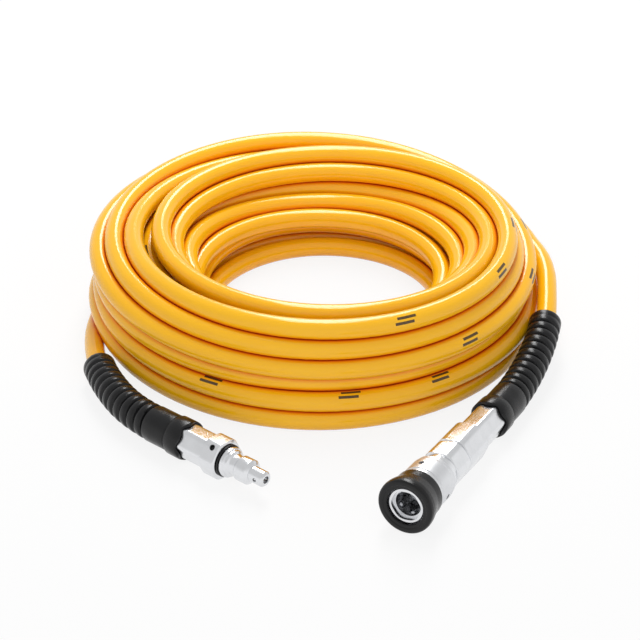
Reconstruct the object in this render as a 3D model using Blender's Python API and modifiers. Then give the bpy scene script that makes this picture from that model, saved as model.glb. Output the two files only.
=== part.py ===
"""Coiled air hose with a swivelling plug on one end and a quick-release socket on the other.

Every size below is in millimetres; the helpers scale to metres. The hose lies as a coil on the floor,
z = 0, and each coupling is built along the local +Z axis of its own empty, where station 0 is the mouth
of the bend guard and stations grow towards the coupling's open end.
"""

import math

import bmesh
import bpy
import numpy as np
from mathutils import Matrix, Vector

MM = 0.001

# ---------------------------------------------------------------- general
CLEAR = 0.3  # gap between neighbouring pieces
SIDES = 20  # facets round a turned metal piece
FLOOR_GAP = 0.3  # least height of a coupling over the floor, which the coil stands on

# ---------------------------------------------------------------- hose
HOSE_OD = 9.0
HOSE_ID = 5.0
HOSE_R = HOSE_OD / 2
BORE_DEPTH = 22.0  # how far the bore is modelled into each tail, for its nipple
TAIL_SPACING = 18.0  # between the points of a tail

# ---------------------------------------------------------------- coil, measured in hose diameters
COIL_CENTRE = (-0.3, 40.64)
COIL_INNER = 6.1  # radius of the lowest inner turn
COIL_OUTER = 10.7  # radius of the outer turns
COIL_TOP = 4.7  # height of the highest turns
WALL_TURNS = 5  # turns on the outer wall, and on the sloping inner wall
TOP_TURNS = 2  # turns along the crown between the walls
CROWN_WIDTH = 2.6
WALL_PITCH = 0.9  # between the turns up the outer wall
SHOULDER_STEP = 0.35  # by which each upper turn of the outer wall lies further in
COIL_STEPS = 36
RIDGE_SPREAD = math.radians(48)  # half of the arc that each turn shows

# ---------------------------------------------------------------- bend guard, by distance behind its mouth
GUARD_LENGTH = 77.0
COLLAR_R = 8.9
COLLAR_LENGTH = 7.5
COLLAR_GROOVE = 0.9
GUARD_BARREL_R = 8.2
GUARD_BARREL_END = 21.0
RIB_COUNT = 11
RIB_R_NEAR = 8.0
RIB_R_FAR = 7.3
RIB_DEPTH = 1.3
GUARD_LIP = 3.2
GUARD_BORE_R = HOSE_R + 0.4
GUARD_SIDES = 14

# ---------------------------------------------------------------- hose end fitting, by station
NUT_FLATS = 14.0
NUT_CORNER_R = 7.75
NUT_BACK = -4.0
NUT_FRONT = 13.0
NUT_SHOULDER = 1.7  # where the nut's counterbore starts
SPIGOT_R = 5.6
SPIGOT_BACK = 2.0
HOSE_SOCKET_R = HOSE_R + CLEAR
NIPPLE_SEAT = 12.4
NIPPLE_FLANGE = 0.6
NIPPLE_TAIL = 19.5
NIPPLE_R = HOSE_ID / 2 - CLEAR
NIPPLE_BORE_R = 1.6
AIR_BORE_R = 2.6
HEX_BACK = NUT_FRONT + CLEAR
HEX_FLATS = 17.0
HEX_CORNER_R = 9.2
CHAMFER = 0.7

# ---------------------------------------------------------------- plug, by station
PLUG_POSITION = (-55.9, -122.5)  # of station 0, from the coil's centre
PLUG_HEADING = -41.5  # degrees from +X
PLUG_ROLL = 24.8
PLUG_HEX_FRONT = 21.8
SHANK_R = 4.3
SHANK_BACK = 14.2
O_RING_STATION = 15.6
O_RING_THICK = 1.4
PIN_STATION = 18.4
PIN_R = 1.0
PIN_TURN = 189.7  # degrees round the plug from its local +X
PIN_DEPTH = 0.6  # how far the pin lies under the flat
PIN_DRILL = (8.0, 12.0)  # middle and length of the pin hole's drill
PIN_GROOVE_R = 3.2
SEAL_THICK = 0.8
SEAL_OUTER_R = 7.3
FLANGE_R = 6.75
FLANGE_LENGTH = 2.0
STEP_R = 5.9
STEP_LENGTH = 1.0
NECK_R = 4.65
NECK_LENGTH = 2.9
BULB_R = 5.55
BULB_LENGTH = 5.2
TIP_R = 3.5
TIP_LENGTH = 6.4
TIP_CHAMFER = 0.9
PLUG_BORE_R = 1.6
CROSS_HOLE_R = 0.9
CROSS_HOLE_BACK = 3.6  # behind the plug's end
CROSS_HOLE_TURN = 63.7
CROSS_DRILL_LENGTH = 12.0

# ---------------------------------------------------------------- socket, by station
SOCKET_POSITION = (69.53, -111.17)
SOCKET_HEADING = -118.6
SOCKET_ROLL = -22.2
SOCKET_NUT_EXTRA = 6.0  # how much further back the socket's nut reaches than the plug's
REAR_HEX_FRONT = 30.2
BODY_SPIGOT_R = 6.4
BODY_SPIGOT_LENGTH = 6.2
FRONT_HEX_LENGTH = 11.8
GUIDE_R = 8.4  # the sleeve's skirt slides on this
GUIDE_LENGTH = 9.0
WAIST_R = 7.1  # under the sleeve spring
WAIST_LENGTH = 11.5
NOSE_R = 8.0
NOSE_LENGTH = 10.2
MOUTH_R = 6.6
MOUTH_DEPTH = 2.2
PLUG_ROOM_R = BULB_R + 0.2
SEAT_WALL = 1.6
SEAT_HOLE_R = 3.4
SEAT_BEHIND_MOUTH = 21.1
VALVE_ROOM_R = 5.4
BALL_COUNT = 6
BALL_R = 1.5
BALL_CENTRE_R = 6.45
BALL_BEHIND_MOUTH = 5.9
SLEEVE_TRAVEL = 4.0
SLEEVE_R_BACK = 9.85
SLEEVE_R = 10.35
SLEEVE_SKIRT = 14.1  # from the sleeve's rear edge to the bumper
SLEEVE_SPIGOT_R = 9.95
RECESS_R = 9.3
RECESS_AHEAD = 1.2  # of the balls' centres
SLEEVE_HOLE_R = 1.2
SLEEVE_HOLES = 3
SLEEVE_HOLE_TURN = 97.7  # degrees round the socket from its local +X
SLEEVE_HOLE_AT = 7.6  # from the sleeve's rear edge
SLEEVE_DRILL_LENGTH = 4.0
BUMPER_R_BACK = 10.9
BUMPER_R = 12.5
BUMPER_LIP = 1.4
BUMPER_FULL = 2.0  # from the bumper's front to its widest ring
BUMPER_LIP_R = NOSE_R + 0.4
SPRING_WIRE_R = 0.45
SPRING_TURNS = 5
SPRING_POINTS = 12  # along each turn of a spring
VALVE_SPRING_WIRE_R = 0.4
VALVE_SPRING_R = 3.6
VALVE_SPRING_TURNS = 5
POPPET_R = 5.0
POPPET_NOSE_R = 3.0
POPPET_DISC = 2.4
STEM_R = 1.8
STEM_LENGTH = 9.0
VALVE_SEAL_THICK = 1.9
PACKING_LENGTH = 3.5
PACKING_R = 3.8  # inner
PACKING_RING = 0.8
SPRING_SEAT_WALL = 1.4

# ---------------------------------------------------------------- derived stations
HOSE_END = NIPPLE_SEAT - NIPPLE_FLANGE - 2 * CLEAR
NUT_ROOM_R = (NUT_CORNER_R + CLEAR) / math.cos(math.pi / GUARD_SIDES)
COUPLING_HEIGHT = max(COLLAR_R, HEX_CORNER_R) + FLOOR_GAP

SEAL_BACK = PLUG_HEX_FRONT + CLEAR
FLANGE_BACK = SEAL_BACK + SEAL_THICK + CLEAR

BODY_HEX_BACK = REAR_HEX_FRONT + 0.4
BODY_SPIGOT_BACK = BODY_HEX_BACK - BODY_SPIGOT_LENGTH
BODY_HEX_FRONT = BODY_HEX_BACK + FRONT_HEX_LENGTH
GUIDE_FRONT = BODY_HEX_FRONT + GUIDE_LENGTH
WAIST_FRONT = GUIDE_FRONT + WAIST_LENGTH
BODY_FRONT = WAIST_FRONT + NOSE_LENGTH
BALL_STATION = BODY_FRONT - BALL_BEHIND_MOUTH
BALL_DRILL_LENGTH = 6.0
BALL_TURNS = [360 * (k + 0.5) / BALL_COUNT for k in range(BALL_COUNT)]
SEAT_FRONT = BODY_FRONT - SEAT_BEHIND_MOUTH + SEAT_WALL
SEAT_BACK = SEAT_FRONT - SEAT_WALL
SLEEVE_BACK = BODY_HEX_FRONT + SLEEVE_TRAVEL + CLEAR
SLEEVE_LAND_BACK = WAIST_FRONT - 1.0
SLEEVE_FRONT = BODY_FRONT - 0.6
BUMPER_BACK = SLEEVE_BACK + SLEEVE_SKIRT + CLEAR
BUMPER_FRONT = BODY_FRONT + BUMPER_LIP
SKIRT_BORE_R = GUIDE_R + CLEAR
LAND_R = NOSE_R + CLEAR
# The bumper is thicker than the guard's collar, so the socket rises towards it.
BUMPER_DROP = BUMPER_R + FLOOR_GAP - COUPLING_HEIGHT
SOCKET_RISE = math.degrees(math.asin(BUMPER_DROP / (BUMPER_FRONT - BUMPER_FULL)))

# ---------------------------------------------------------------- the tails' routes, from the coil's centre
# Each starts inside its bend guard and ends beside the coil; the straight length before it is added.
PLUG_ROUTE = (
    (-75.6, -104.4, 9.2),
    (-85.6, -91.6, 9.0),
    (-94.0, -74.6, 8.6),
    (-99.8, -57.0, 8.0),
    (-103.0, -40.0, 6.2),
    (-105.0, -22.0, 4.9),
    (-105.8, -4.0, 4.6),
    (-104.7, 15.0, 4.6),
    (-101.1, 31.0, 4.6),
    (-94.6, 47.5, 4.6),
)
SOCKET_ROUTE = (
    (83.8, -84.8, 8.7),
    (91.8, -68.0, 10.7),
    (98.9, -50.2, 13.9),
    (103.6, -33.0, 16.9),
    (106.0, -14.0, 19.4),
    (106.3, 4.0, 20.8),
    (104.0, 19.5, 21.2),
    (98.4, 38.2, 21.4),
)


def point(x, y, z=0.0):
    """A place given from the coil's centre, in metres in the world."""
    return Vector((x + COIL_CENTRE[0], y + COIL_CENTRE[1], z)) * MM


# ---------------------------------------------------------------- scene and materials
def clear_scene():
    for obj in list(bpy.data.objects):
        bpy.data.objects.remove(obj, do_unlink=True)


def collection(name, hidden=False):
    group = bpy.data.collections.new(name)
    bpy.context.scene.collection.children.link(group)
    group.hide_render = hidden
    return group


def material(name, colour, roughness, metallic=0.0):
    made = bpy.data.materials.new(name)
    made.use_nodes = True
    shader = made.node_tree.nodes["Principled BSDF"]
    shader.inputs["Base Color"].default_value = (*colour, 1.0)
    shader.inputs["Roughness"].default_value = roughness
    shader.inputs["Metallic"].default_value = metallic
    return made


def add_object(name, data, finish=None, parent=None, group=None):
    obj = bpy.data.objects.new(name, data)
    (group or PARTS).objects.link(obj)
    if finish:
        data.materials.append(finish)
    obj.parent = parent
    return obj


def axis_empty(name, place, heading, rise=0.0, roll=0.0):
    """An empty whose local +Z points along a coupling, out of its open end."""
    empty = add_object(name, None)
    out = Matrix.Rotation(math.radians(heading), 4, "Z") @ Matrix.Rotation(math.radians(90 - rise), 4, "Y")
    empty.matrix_world = Matrix.Translation(place) @ out @ Matrix.Rotation(math.radians(roll), 4, "Z")
    return empty


# ---------------------------------------------------------------- shapes
def turned(name, profile, finish=None, parent=None, sides=SIDES, group=None):
    """A closed (radius, station) outline, outer side first and front to back, swept round local Z."""
    mesh = bpy.data.meshes.new(name)
    corners = [(r * MM, 0.0, z * MM) for r, z in profile]
    loop = [(i, (i + 1) % len(corners)) for i in range(len(corners))]
    if profile[0][0] == 0.0:
        loop.pop()
    mesh.from_pydata(corners, loop, [])
    obj = add_object(name, mesh, finish, parent, group)
    screw = obj.modifiers.new("Turn", "SCREW")
    screw.axis = "Z"
    screw.steps = screw.render_steps = sides
    screw.use_merge_vertices = True
    screw.merge_threshold = 1e-6
    screw.use_smooth_shade = False
    return obj


def tube_profile(outer, inner, front, back):
    """A plain bush: outer and inner radius between two stations."""
    return [(inner, front), (outer, front), (outer, back), (inner, back)]


def bar(name, radius, length, middle, direction=(0, 0, 1), sides=12):
    """The mesh of a straight bar, given by its middle."""
    mesh = bpy.data.meshes.new(name)
    shape = bmesh.new()
    bmesh.ops.create_cone(
        shape, cap_ends=True, segments=sides, radius1=radius * MM, radius2=radius * MM, depth=length * MM
    )
    turn = Vector((0, 0, 1)).rotation_difference(Vector(direction)).to_matrix().to_4x4()
    bmesh.ops.transform(shape, verts=shape.verts, matrix=Matrix.Translation(Vector(middle) * MM) @ turn)
    shape.to_mesh(mesh)
    shape.free()
    return mesh


def cutter(mesh, parent):
    obj = add_object(mesh.name, mesh, None, parent, CUTTERS)
    obj.hide_render = True
    obj.display_type = "WIRE"
    return obj


def hex_bar(name, flats, back, front, parent):
    """The hexagonal bar that a turned blank is cut to."""
    middle = (0, 0, (front + back) / 2)
    return cutter(bar(name, flats / math.sqrt(3), front - back, middle, sides=6), parent)


def radial(turn):
    """The unit vector at `turn` degrees round a coupling, from its local +X."""
    return Vector((math.cos(math.radians(turn)), math.sin(math.radians(turn)), 0))


def radial_hole(name, radius, turn, distance, station, length, parent):
    """A cutter for a hole whose middle is `distance` from the axis."""
    out = radial(turn)
    return cutter(bar(name, radius, length, out * distance + Vector((0, 0, station)), out), parent)


def boolean(obj, other, operation):
    step = obj.modifiers.new(other.name, "BOOLEAN")
    step.operation = operation
    step.object = other


def smooth_route(points, spacing):
    """Evenly spaced points along a Catmull-Rom curve through the given ones."""
    given = np.array(points)
    ends = [2 * given[0] - given[1], *given, 2 * given[-1] - given[-2]]
    fine = []
    for a, b, c, d in zip(ends, ends[1:], ends[2:], ends[3:]):
        t = np.linspace(0, 1, 24, endpoint=False)[:, None]
        square, cube = 2 * a - 5 * b + 4 * c - d, 3 * b - a - 3 * c + d
        fine.append(0.5 * (2 * b + (c - a) * t + square * t**2 + cube * t**3))
    fine = np.concatenate([*fine, given[-1:]])
    along = np.concatenate([[0], np.cumsum(np.linalg.norm(np.diff(fine, axis=0), axis=1))])
    count = max(2, round(along[-1] / spacing) + 1)
    wanted = np.linspace(0, along[-1], count)
    return np.stack([np.interp(wanted, along, fine[:, k]) for k in range(3)], axis=1)


def poly_curve(name, points, radius, sides=4):
    """A round bar along straight chords between points given in metres."""
    curve = bpy.data.curves.new(name, "CURVE")
    curve.dimensions = "3D"
    curve.bevel_depth = radius * MM
    curve.bevel_resolution = sides
    curve.use_fill_caps = radius > 0
    spline = curve.splines.new("POLY")
    spline.points.add(len(points) - 1)
    for target, place in zip(spline.points, points):
        target.co = (*place, 1.0)
    return curve


def curve_to_mesh(name, curve):
    """The curve's tube as a welded mesh, which a Boolean can cut."""
    helper = add_object(name + "_curve", curve)
    bpy.context.view_layer.update()
    graph = bpy.context.evaluated_depsgraph_get()
    mesh = bpy.data.meshes.new_from_object(helper.evaluated_get(graph))
    mesh.name = name
    bpy.data.objects.remove(helper, do_unlink=True)
    shape = bmesh.new()
    shape.from_mesh(mesh)
    bmesh.ops.remove_doubles(shape, verts=shape.verts, dist=1e-6)
    shape.to_mesh(mesh)
    shape.free()
    return mesh


# ---------------------------------------------------------------- the hose
def ridge_line(centres):
    """The outline over touching round turns, on the left of their order: an arc over each centre."""
    centres = np.array(centres)
    padded = np.concatenate([[2 * centres[0] - centres[1]], centres, [2 * centres[-1] - centres[-2]]])
    outline = []
    for before, here, after in zip(padded, padded[1:], padded[2:]):
        along = after - before
        facing = math.atan2(along[0], -along[1])
        for turn in (RIDGE_SPREAD, 0.0, -RIDGE_SPREAD):
            outline.append(here + 0.5 * np.array([math.cos(facing + turn), math.sin(facing + turn)]))
    return outline


def make_coil():
    """All the turns as one turned ring: an inner wall that slopes in, a crown, and a steep outer wall."""
    low = 0.5
    crown_in = COIL_OUTER - CROWN_WIDTH
    rise = np.linspace(0, 1, WALL_TURNS + 1)[:-1]
    inner = [(COIL_INNER + (crown_in - COIL_INNER) * t**1.3, low + (COIL_TOP - low) * t) for t in rise]
    heights = low + WALL_PITCH * np.arange(WALL_TURNS)
    outer = [(COIL_OUTER - SHOULDER_STEP * max(0, k - 2), z) for k, z in enumerate(heights)]
    crown = [(r, COIL_TOP) for r in np.linspace(crown_in, outer[-1][0] - 1.05, TOP_TURNS)]
    outline = [(r * HOSE_OD, max(z, 0.0) * HOSE_OD) for r, z in ridge_line(inner + crown + outer[::-1])]
    feet = [(COIL_OUTER * HOSE_OD, 0.0), (COIL_INNER * HOSE_OD, 0.0)]
    coil = turned("hose_coil", [feet[1], *outline, feet[0]], HOSE, sides=COIL_STEPS)
    coil.location = point(0, 0)


def make_tail(name, axis, route, nut_extra):
    """One free end of the hose, from inside its fitting to the coil, with its bore at the fitting."""
    straight = HOSE_END, HOSE_END - TAIL_SPACING - nut_extra
    end, start = (axis.matrix_world @ Vector((0, 0, s * MM)) for s in straight)
    bend = smooth_route([tuple(start), *(tuple(point(*place)) for place in route)], TAIL_SPACING * MM)
    points = [end, *bend]
    guide = cutter(poly_curve(name + "_guide", points, 0.0), None)
    tail = add_object(name, curve_to_mesh(name, poly_curve(name, points, HOSE_R)), HOSE)
    past_end = 1.0
    middle = (0, 0, HOSE_END + past_end - (BORE_DEPTH + past_end) / 2)
    bore = bar(name + "_bore", HOSE_ID / 2, BORE_DEPTH + past_end, middle, sides=16)
    boolean(tail, cutter(bore, axis), "DIFFERENCE")
    return guide


def guard_profile(nut_extra):
    """The bend guard, by distance from the hose's end: collar, barrel, ribs, lip, bore and nut pocket."""
    mouth = HOSE_END + nut_extra
    end = mouth + GUARD_LENGTH
    outer = [
        (COLLAR_R, mouth),
        (COLLAR_R, mouth + COLLAR_LENGTH),
        (GUARD_BARREL_R - 0.4, mouth + COLLAR_LENGTH + 0.2),
        (GUARD_BARREL_R, mouth + COLLAR_LENGTH + COLLAR_GROOVE),
        (GUARD_BARREL_R, mouth + GUARD_BARREL_END),
    ]
    pitch = (GUARD_LENGTH - GUARD_LIP - GUARD_BARREL_END) / RIB_COUNT
    for k in range(RIB_COUNT):
        here = mouth + GUARD_BARREL_END + k * pitch
        radius = RIB_R_NEAR + (RIB_R_FAR - RIB_R_NEAR) * k / (RIB_COUNT - 1)
        outer.append((radius - RIB_DEPTH, here + 0.2 * pitch))
        outer += [(radius, here + share * pitch) for share in (0.45, 1.0)]
    outer += [(RIB_R_FAR, end)]
    pocket = mouth - NUT_BACK + CLEAR
    bends = np.arange(TAIL_SPACING + nut_extra, end, TAIL_SPACING)  # a ring at each point of the tail
    inner = [(GUARD_BORE_R, end)]
    inner += [(GUARD_BORE_R, s) for s in bends[::-1] if pocket + 1 < s < end - 1]
    inner += [(GUARD_BORE_R, pocket), (NUT_ROOM_R, pocket), (NUT_ROOM_R, mouth)]
    return (outer + inner)[::-1]


def make_guard(name, guide, nut_extra):
    guard = turned(name, guard_profile(nut_extra), RUBBER, sides=GUARD_SIDES)
    bend = guard.modifiers.new("Bend", "CURVE")
    bend.object = guide
    bend.deform_axis = "POS_Z"
    return guard


# ---------------------------------------------------------------- hose end fittings, alike on both ends
def make_cap_nut(name, axis, nut_extra):
    c, back = CHAMFER, NUT_BACK - nut_extra
    nut = turned(
        name,
        [
            (SPIGOT_R + CLEAR, NUT_FRONT),
            (NUT_CORNER_R - c, NUT_FRONT),
            (NUT_CORNER_R, NUT_FRONT - c),
            (NUT_CORNER_R, back + 2 * c),
            (NUT_CORNER_R - 2 * c, back),
            (HOSE_SOCKET_R, back),
            (HOSE_SOCKET_R, NUT_SHOULDER),
            (SPIGOT_R + CLEAR, NUT_SHOULDER),
        ],
        NICKEL,
        axis,
    )
    boolean(nut, hex_bar(name + "_hex", NUT_FLATS, back - 1, NUT_FRONT + 1, axis), "INTERSECT")


def make_nipple(name, axis):
    flange_front = NIPPLE_SEAT - CLEAR
    flange_back = flange_front - NIPPLE_FLANGE
    turned(
        name,
        [
            (NIPPLE_BORE_R, flange_front),
            (HOSE_R - 0.1, flange_front),
            (HOSE_R - 0.1, flange_back),
            (NIPPLE_R, flange_back),
            (NIPPLE_R, flange_back - NIPPLE_TAIL + 1.5),
            (NIPPLE_BORE_R + 0.2, flange_back - NIPPLE_TAIL),
            (NIPPLE_BORE_R, flange_back - NIPPLE_TAIL),
        ],
        NICKEL,
        axis,
        sides=16,
    )


def hex_blank(front, inside):
    """A hexagon's turned blank with the hose spigot behind it; `inside` is its bore, back to front."""
    c = CHAMFER
    return [
        *inside,
        (HEX_CORNER_R - 2 * c, front),
        (HEX_CORNER_R, front - c),
        (HEX_CORNER_R, HEX_BACK + c),
        (HEX_CORNER_R - 2 * c, HEX_BACK),
        (SPIGOT_R, HEX_BACK),
        (SPIGOT_R, SPIGOT_BACK),
        (HOSE_SOCKET_R, SPIGOT_BACK),
        (HOSE_SOCKET_R, NIPPLE_SEAT),
        (AIR_BORE_R, NIPPLE_SEAT),
    ]


# ---------------------------------------------------------------- plug
def make_plug_body(axis):
    room = SHANK_R + CLEAR
    inside = [(AIR_BORE_R, SHANK_BACK - CLEAR), (room, SHANK_BACK - CLEAR), (room, PLUG_HEX_FRONT)]
    body = turned("plug_body", hex_blank(PLUG_HEX_FRONT, inside), NICKEL, axis)
    hexagon = hex_bar("plug_body_hex", HEX_FLATS, SPIGOT_BACK - 1, PLUG_HEX_FRONT + 1, axis)
    boolean(body, hexagon, "INTERSECT")
    hole = radial_hole("plug_pin_hole", PIN_R + CLEAR, PIN_TURN, PIN_DRILL[0], PIN_STATION, PIN_DRILL[1], axis)
    boolean(body, hole, "DIFFERENCE")


def make_retaining_pin(axis):
    """A short pin in the hexagon's hole, reaching into the shank's groove, which keeps the plug nose in."""
    inner = PIN_GROOVE_R + CLEAR
    outer = HEX_FLATS / 2 - PIN_DEPTH
    out = radial(PIN_TURN)
    middle = out * (inner + outer) / 2 + Vector((0, 0, PIN_STATION))
    pin = bar("plug_retaining_pin", PIN_R, outer - inner, middle, out)
    add_object("plug_retaining_pin", pin, STEEL, axis)


def make_o_ring(name, station, inner, thick, axis):
    """A round-section rubber ring."""
    radius = thick / 2
    around = np.radians(np.arange(180, -180, -45))
    profile = [(inner + radius + radius * math.cos(a), station + radius * math.sin(a)) for a in around]
    turned(name, profile, RUBBER, axis)


def make_plug_nose(axis):
    c = CHAMFER
    groove = PIN_R + 0.3
    ring_room = O_RING_THICK / 2 + 0.3
    ring_floor = SHANK_R - O_RING_THICK - CLEAR
    stations = [FLANGE_BACK + FLANGE_LENGTH]
    for length in (STEP_LENGTH, c, NECK_LENGTH, c, BULB_LENGTH, 2 * c, TIP_LENGTH):
        stations.append(stations[-1] + length)
    flange_end, step_end, neck_start, neck_end, bulb_start, bulb_end, tip_start, tip_end = stations
    end = tip_end + c
    nose = turned(
        "plug_nose",
        [
            (PLUG_BORE_R, end),
            (TIP_R - TIP_CHAMFER, end),
            (TIP_R, end - TIP_CHAMFER),
            (TIP_R, tip_start),
            (TIP_R + 0.4, tip_start),
            (BULB_R, bulb_end),
            (BULB_R, bulb_start),
            (NECK_R, neck_end),
            (NECK_R, neck_start),
            (STEP_R, step_end),
            (STEP_R, flange_end),
            (FLANGE_R, flange_end - 0.3),
            (FLANGE_R, FLANGE_BACK),
            (SHANK_R + 0.6, FLANGE_BACK),
            (SHANK_R + 0.6, SEAL_BACK),
            (SHANK_R, SEAL_BACK),
            (SHANK_R, PIN_STATION + groove),
            (PIN_GROOVE_R, PIN_STATION + groove),
            (PIN_GROOVE_R, PIN_STATION - groove),
            (SHANK_R, PIN_STATION - groove),
            (SHANK_R, O_RING_STATION + ring_room),
            (ring_floor, O_RING_STATION + ring_room),
            (ring_floor, O_RING_STATION - ring_room),
            (SHANK_R, O_RING_STATION - ring_room),
            (SHANK_R, SHANK_BACK),
            (PLUG_BORE_R, SHANK_BACK),
        ],
        NICKEL,
        axis,
    )
    station = end - CROSS_HOLE_BACK
    hole = radial_hole("plug_cross_hole", CROSS_HOLE_R, CROSS_HOLE_TURN, 0.0, station, CROSS_DRILL_LENGTH, axis)
    boolean(nose, hole, "DIFFERENCE")


def make_plug(axis):
    make_plug_body(axis)
    make_retaining_pin(axis)
    make_plug_nose(axis)
    make_o_ring("plug_o_ring", O_RING_STATION, SHANK_R - O_RING_THICK, O_RING_THICK, axis)
    seal = tube_profile(SEAL_OUTER_R, SHANK_R + 0.6 + CLEAR, SEAL_BACK + SEAL_THICK, SEAL_BACK)
    turned("plug_swivel_seal", seal, RUBBER, axis)


# ---------------------------------------------------------------- socket
def make_socket_rear(axis):
    deep = BODY_SPIGOT_BACK - CLEAR
    inside = [
        (AIR_BORE_R, HEX_BACK + 4.5),
        (VALVE_ROOM_R - 1.0, HEX_BACK + 4.5),
        (VALVE_ROOM_R - 1.0, deep),
        (BODY_SPIGOT_R + CLEAR, deep),
        (BODY_SPIGOT_R + CLEAR, REAR_HEX_FRONT),
    ]
    rear = turned("socket_rear_body", hex_blank(REAR_HEX_FRONT, inside), NICKEL, axis)
    hexagon = hex_bar("socket_rear_hex", HEX_FLATS, SPIGOT_BACK - 1, REAR_HEX_FRONT + 1, axis)
    boolean(rear, hexagon, "INTERSECT")


def make_socket_body(axis):
    c = CHAMFER
    body = turned(
        "socket_body",
        [
            (MOUTH_R, BODY_FRONT),
            (NOSE_R - 0.3, BODY_FRONT),
            (NOSE_R, BODY_FRONT - 0.3),
            (NOSE_R, WAIST_FRONT),
            (WAIST_R, WAIST_FRONT),
            (WAIST_R, GUIDE_FRONT),
            (GUIDE_R, GUIDE_FRONT),
            (GUIDE_R, BODY_HEX_FRONT),
            (HEX_CORNER_R - 2 * c, BODY_HEX_FRONT),
            (HEX_CORNER_R, BODY_HEX_FRONT - c),
            (HEX_CORNER_R, BODY_HEX_BACK + c),
            (HEX_CORNER_R - c, BODY_HEX_BACK),
            (BODY_SPIGOT_R, BODY_HEX_BACK),
            (BODY_SPIGOT_R, BODY_SPIGOT_BACK),
            (VALVE_ROOM_R, BODY_SPIGOT_BACK),
            (VALVE_ROOM_R, SEAT_BACK),
            (SEAT_HOLE_R, SEAT_BACK),
            (SEAT_HOLE_R, SEAT_FRONT),
            (PLUG_ROOM_R, SEAT_FRONT),
            (PLUG_ROOM_R, BODY_FRONT - MOUTH_DEPTH),
            (MOUTH_R, BODY_FRONT - MOUTH_DEPTH),
        ],
        NICKEL,
        axis,
    )
    boolean(body, hex_bar("socket_hex", HEX_FLATS, BODY_SPIGOT_BACK - 1, BODY_FRONT + 1, axis), "INTERSECT")
    for k, turn in enumerate(BALL_TURNS):
        hole = radial_hole(f"ball_hole_{k + 1}", BALL_R + CLEAR, turn, MOUTH_R, BALL_STATION, BALL_DRILL_LENGTH, axis)
        boolean(body, hole, "DIFFERENCE")


def make_balls(axis):
    """Steel balls that drop into the plug's neck; each slides radially in its hole."""
    for k, turn in enumerate(BALL_TURNS):
        mesh = bpy.data.meshes.new(f"lock_ball_{k + 1}")
        shape = bmesh.new()
        bmesh.ops.create_uvsphere(shape, u_segments=10, v_segments=6, radius=BALL_R * MM)
        shape.to_mesh(mesh)
        shape.free()
        ball = add_object(f"lock_ball_{k + 1}", mesh, STEEL, axis)
        ball.location = (radial(turn) * BALL_CENTRE_R + Vector((0, 0, BALL_STATION))) * MM


def make_sleeve(axis):
    """The sleeve, pulled back to free the plug: skirt, locking land, and the recess for the balls."""
    recess = BALL_STATION + RECESS_AHEAD
    shoulder = BUMPER_BACK - CLEAR
    sleeve = turned(
        "lock_sleeve",
        [
            (RECESS_R, SLEEVE_FRONT),
            (SLEEVE_SPIGOT_R, SLEEVE_FRONT),
            (SLEEVE_SPIGOT_R, shoulder),
            (SLEEVE_R, shoulder),
            (SLEEVE_R, shoulder - 1.2),
            (SLEEVE_R - 0.4, shoulder - 1.4),
            (SLEEVE_R - 0.4, shoulder - 2.2),
            (SLEEVE_R, shoulder - 2.4),
            (SLEEVE_R, SLEEVE_BACK + 3.2),
            (SLEEVE_R_BACK, SLEEVE_BACK + 2.2),
            (SLEEVE_R_BACK, SLEEVE_BACK + 0.4),
            (SLEEVE_R_BACK - 0.4, SLEEVE_BACK),
            (SKIRT_BORE_R, SLEEVE_BACK),
            (SKIRT_BORE_R, SLEEVE_LAND_BACK),
            (LAND_R, SLEEVE_LAND_BACK),
            (LAND_R, recess),
            (RECESS_R, recess),
        ],
        SATIN,
        axis,
        sides=24,
    )
    for k in range(SLEEVE_HOLES):
        turn = SLEEVE_HOLE_TURN + 360 * k / SLEEVE_HOLES
        station = SLEEVE_BACK + SLEEVE_HOLE_AT
        hole = radial_hole(f"sleeve_hole_{k + 1}", SLEEVE_HOLE_R, turn, SLEEVE_R, station, SLEEVE_DRILL_LENGTH, axis)
        boolean(sleeve, hole, "DIFFERENCE")


def make_bumper(axis):
    """The rubber ring over the sleeve's front, with a lip over its end."""
    seat = SLEEVE_SPIGOT_R + CLEAR
    lip_back = SLEEVE_FRONT + CLEAR
    turned(
        "socket_bumper",
        [
            (BUMPER_LIP_R, BUMPER_FRONT - 0.4),
            (BUMPER_LIP_R + 1.4, BUMPER_FRONT - 0.4),
            (BUMPER_LIP_R + 1.6, BUMPER_FRONT),
            (BUMPER_R - 0.9, BUMPER_FRONT),
            (BUMPER_R - 0.2, BUMPER_FRONT - 0.6),
            (BUMPER_R, BUMPER_FRONT - BUMPER_FULL),
            (BUMPER_R - 0.2, BUMPER_FRONT - 2 * BUMPER_FULL),
            (BUMPER_R_BACK + 0.2, BUMPER_BACK + 4.5),
            (BUMPER_R_BACK, BUMPER_BACK + 0.4),
            (BUMPER_R_BACK - 0.2, BUMPER_BACK),
            (seat, BUMPER_BACK),
            (seat, lip_back),
            (BUMPER_LIP_R, lip_back),
        ],
        RUBBER,
        axis,
        sides=24,
    )


def make_spring(name, radius, wire, turns, back, front, axis):
    """A helical wire spring between two stations."""
    count = turns * SPRING_POINTS
    angles = np.linspace(0, 2 * math.pi * turns, count + 1)
    stations = np.linspace(back + wire, front - wire, count + 1)
    points = np.stack([radius * np.cos(angles), radius * np.sin(angles), stations], axis=1) * MM
    add_object(name, poly_curve(name, points, wire, 1), STEEL, axis)


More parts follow.
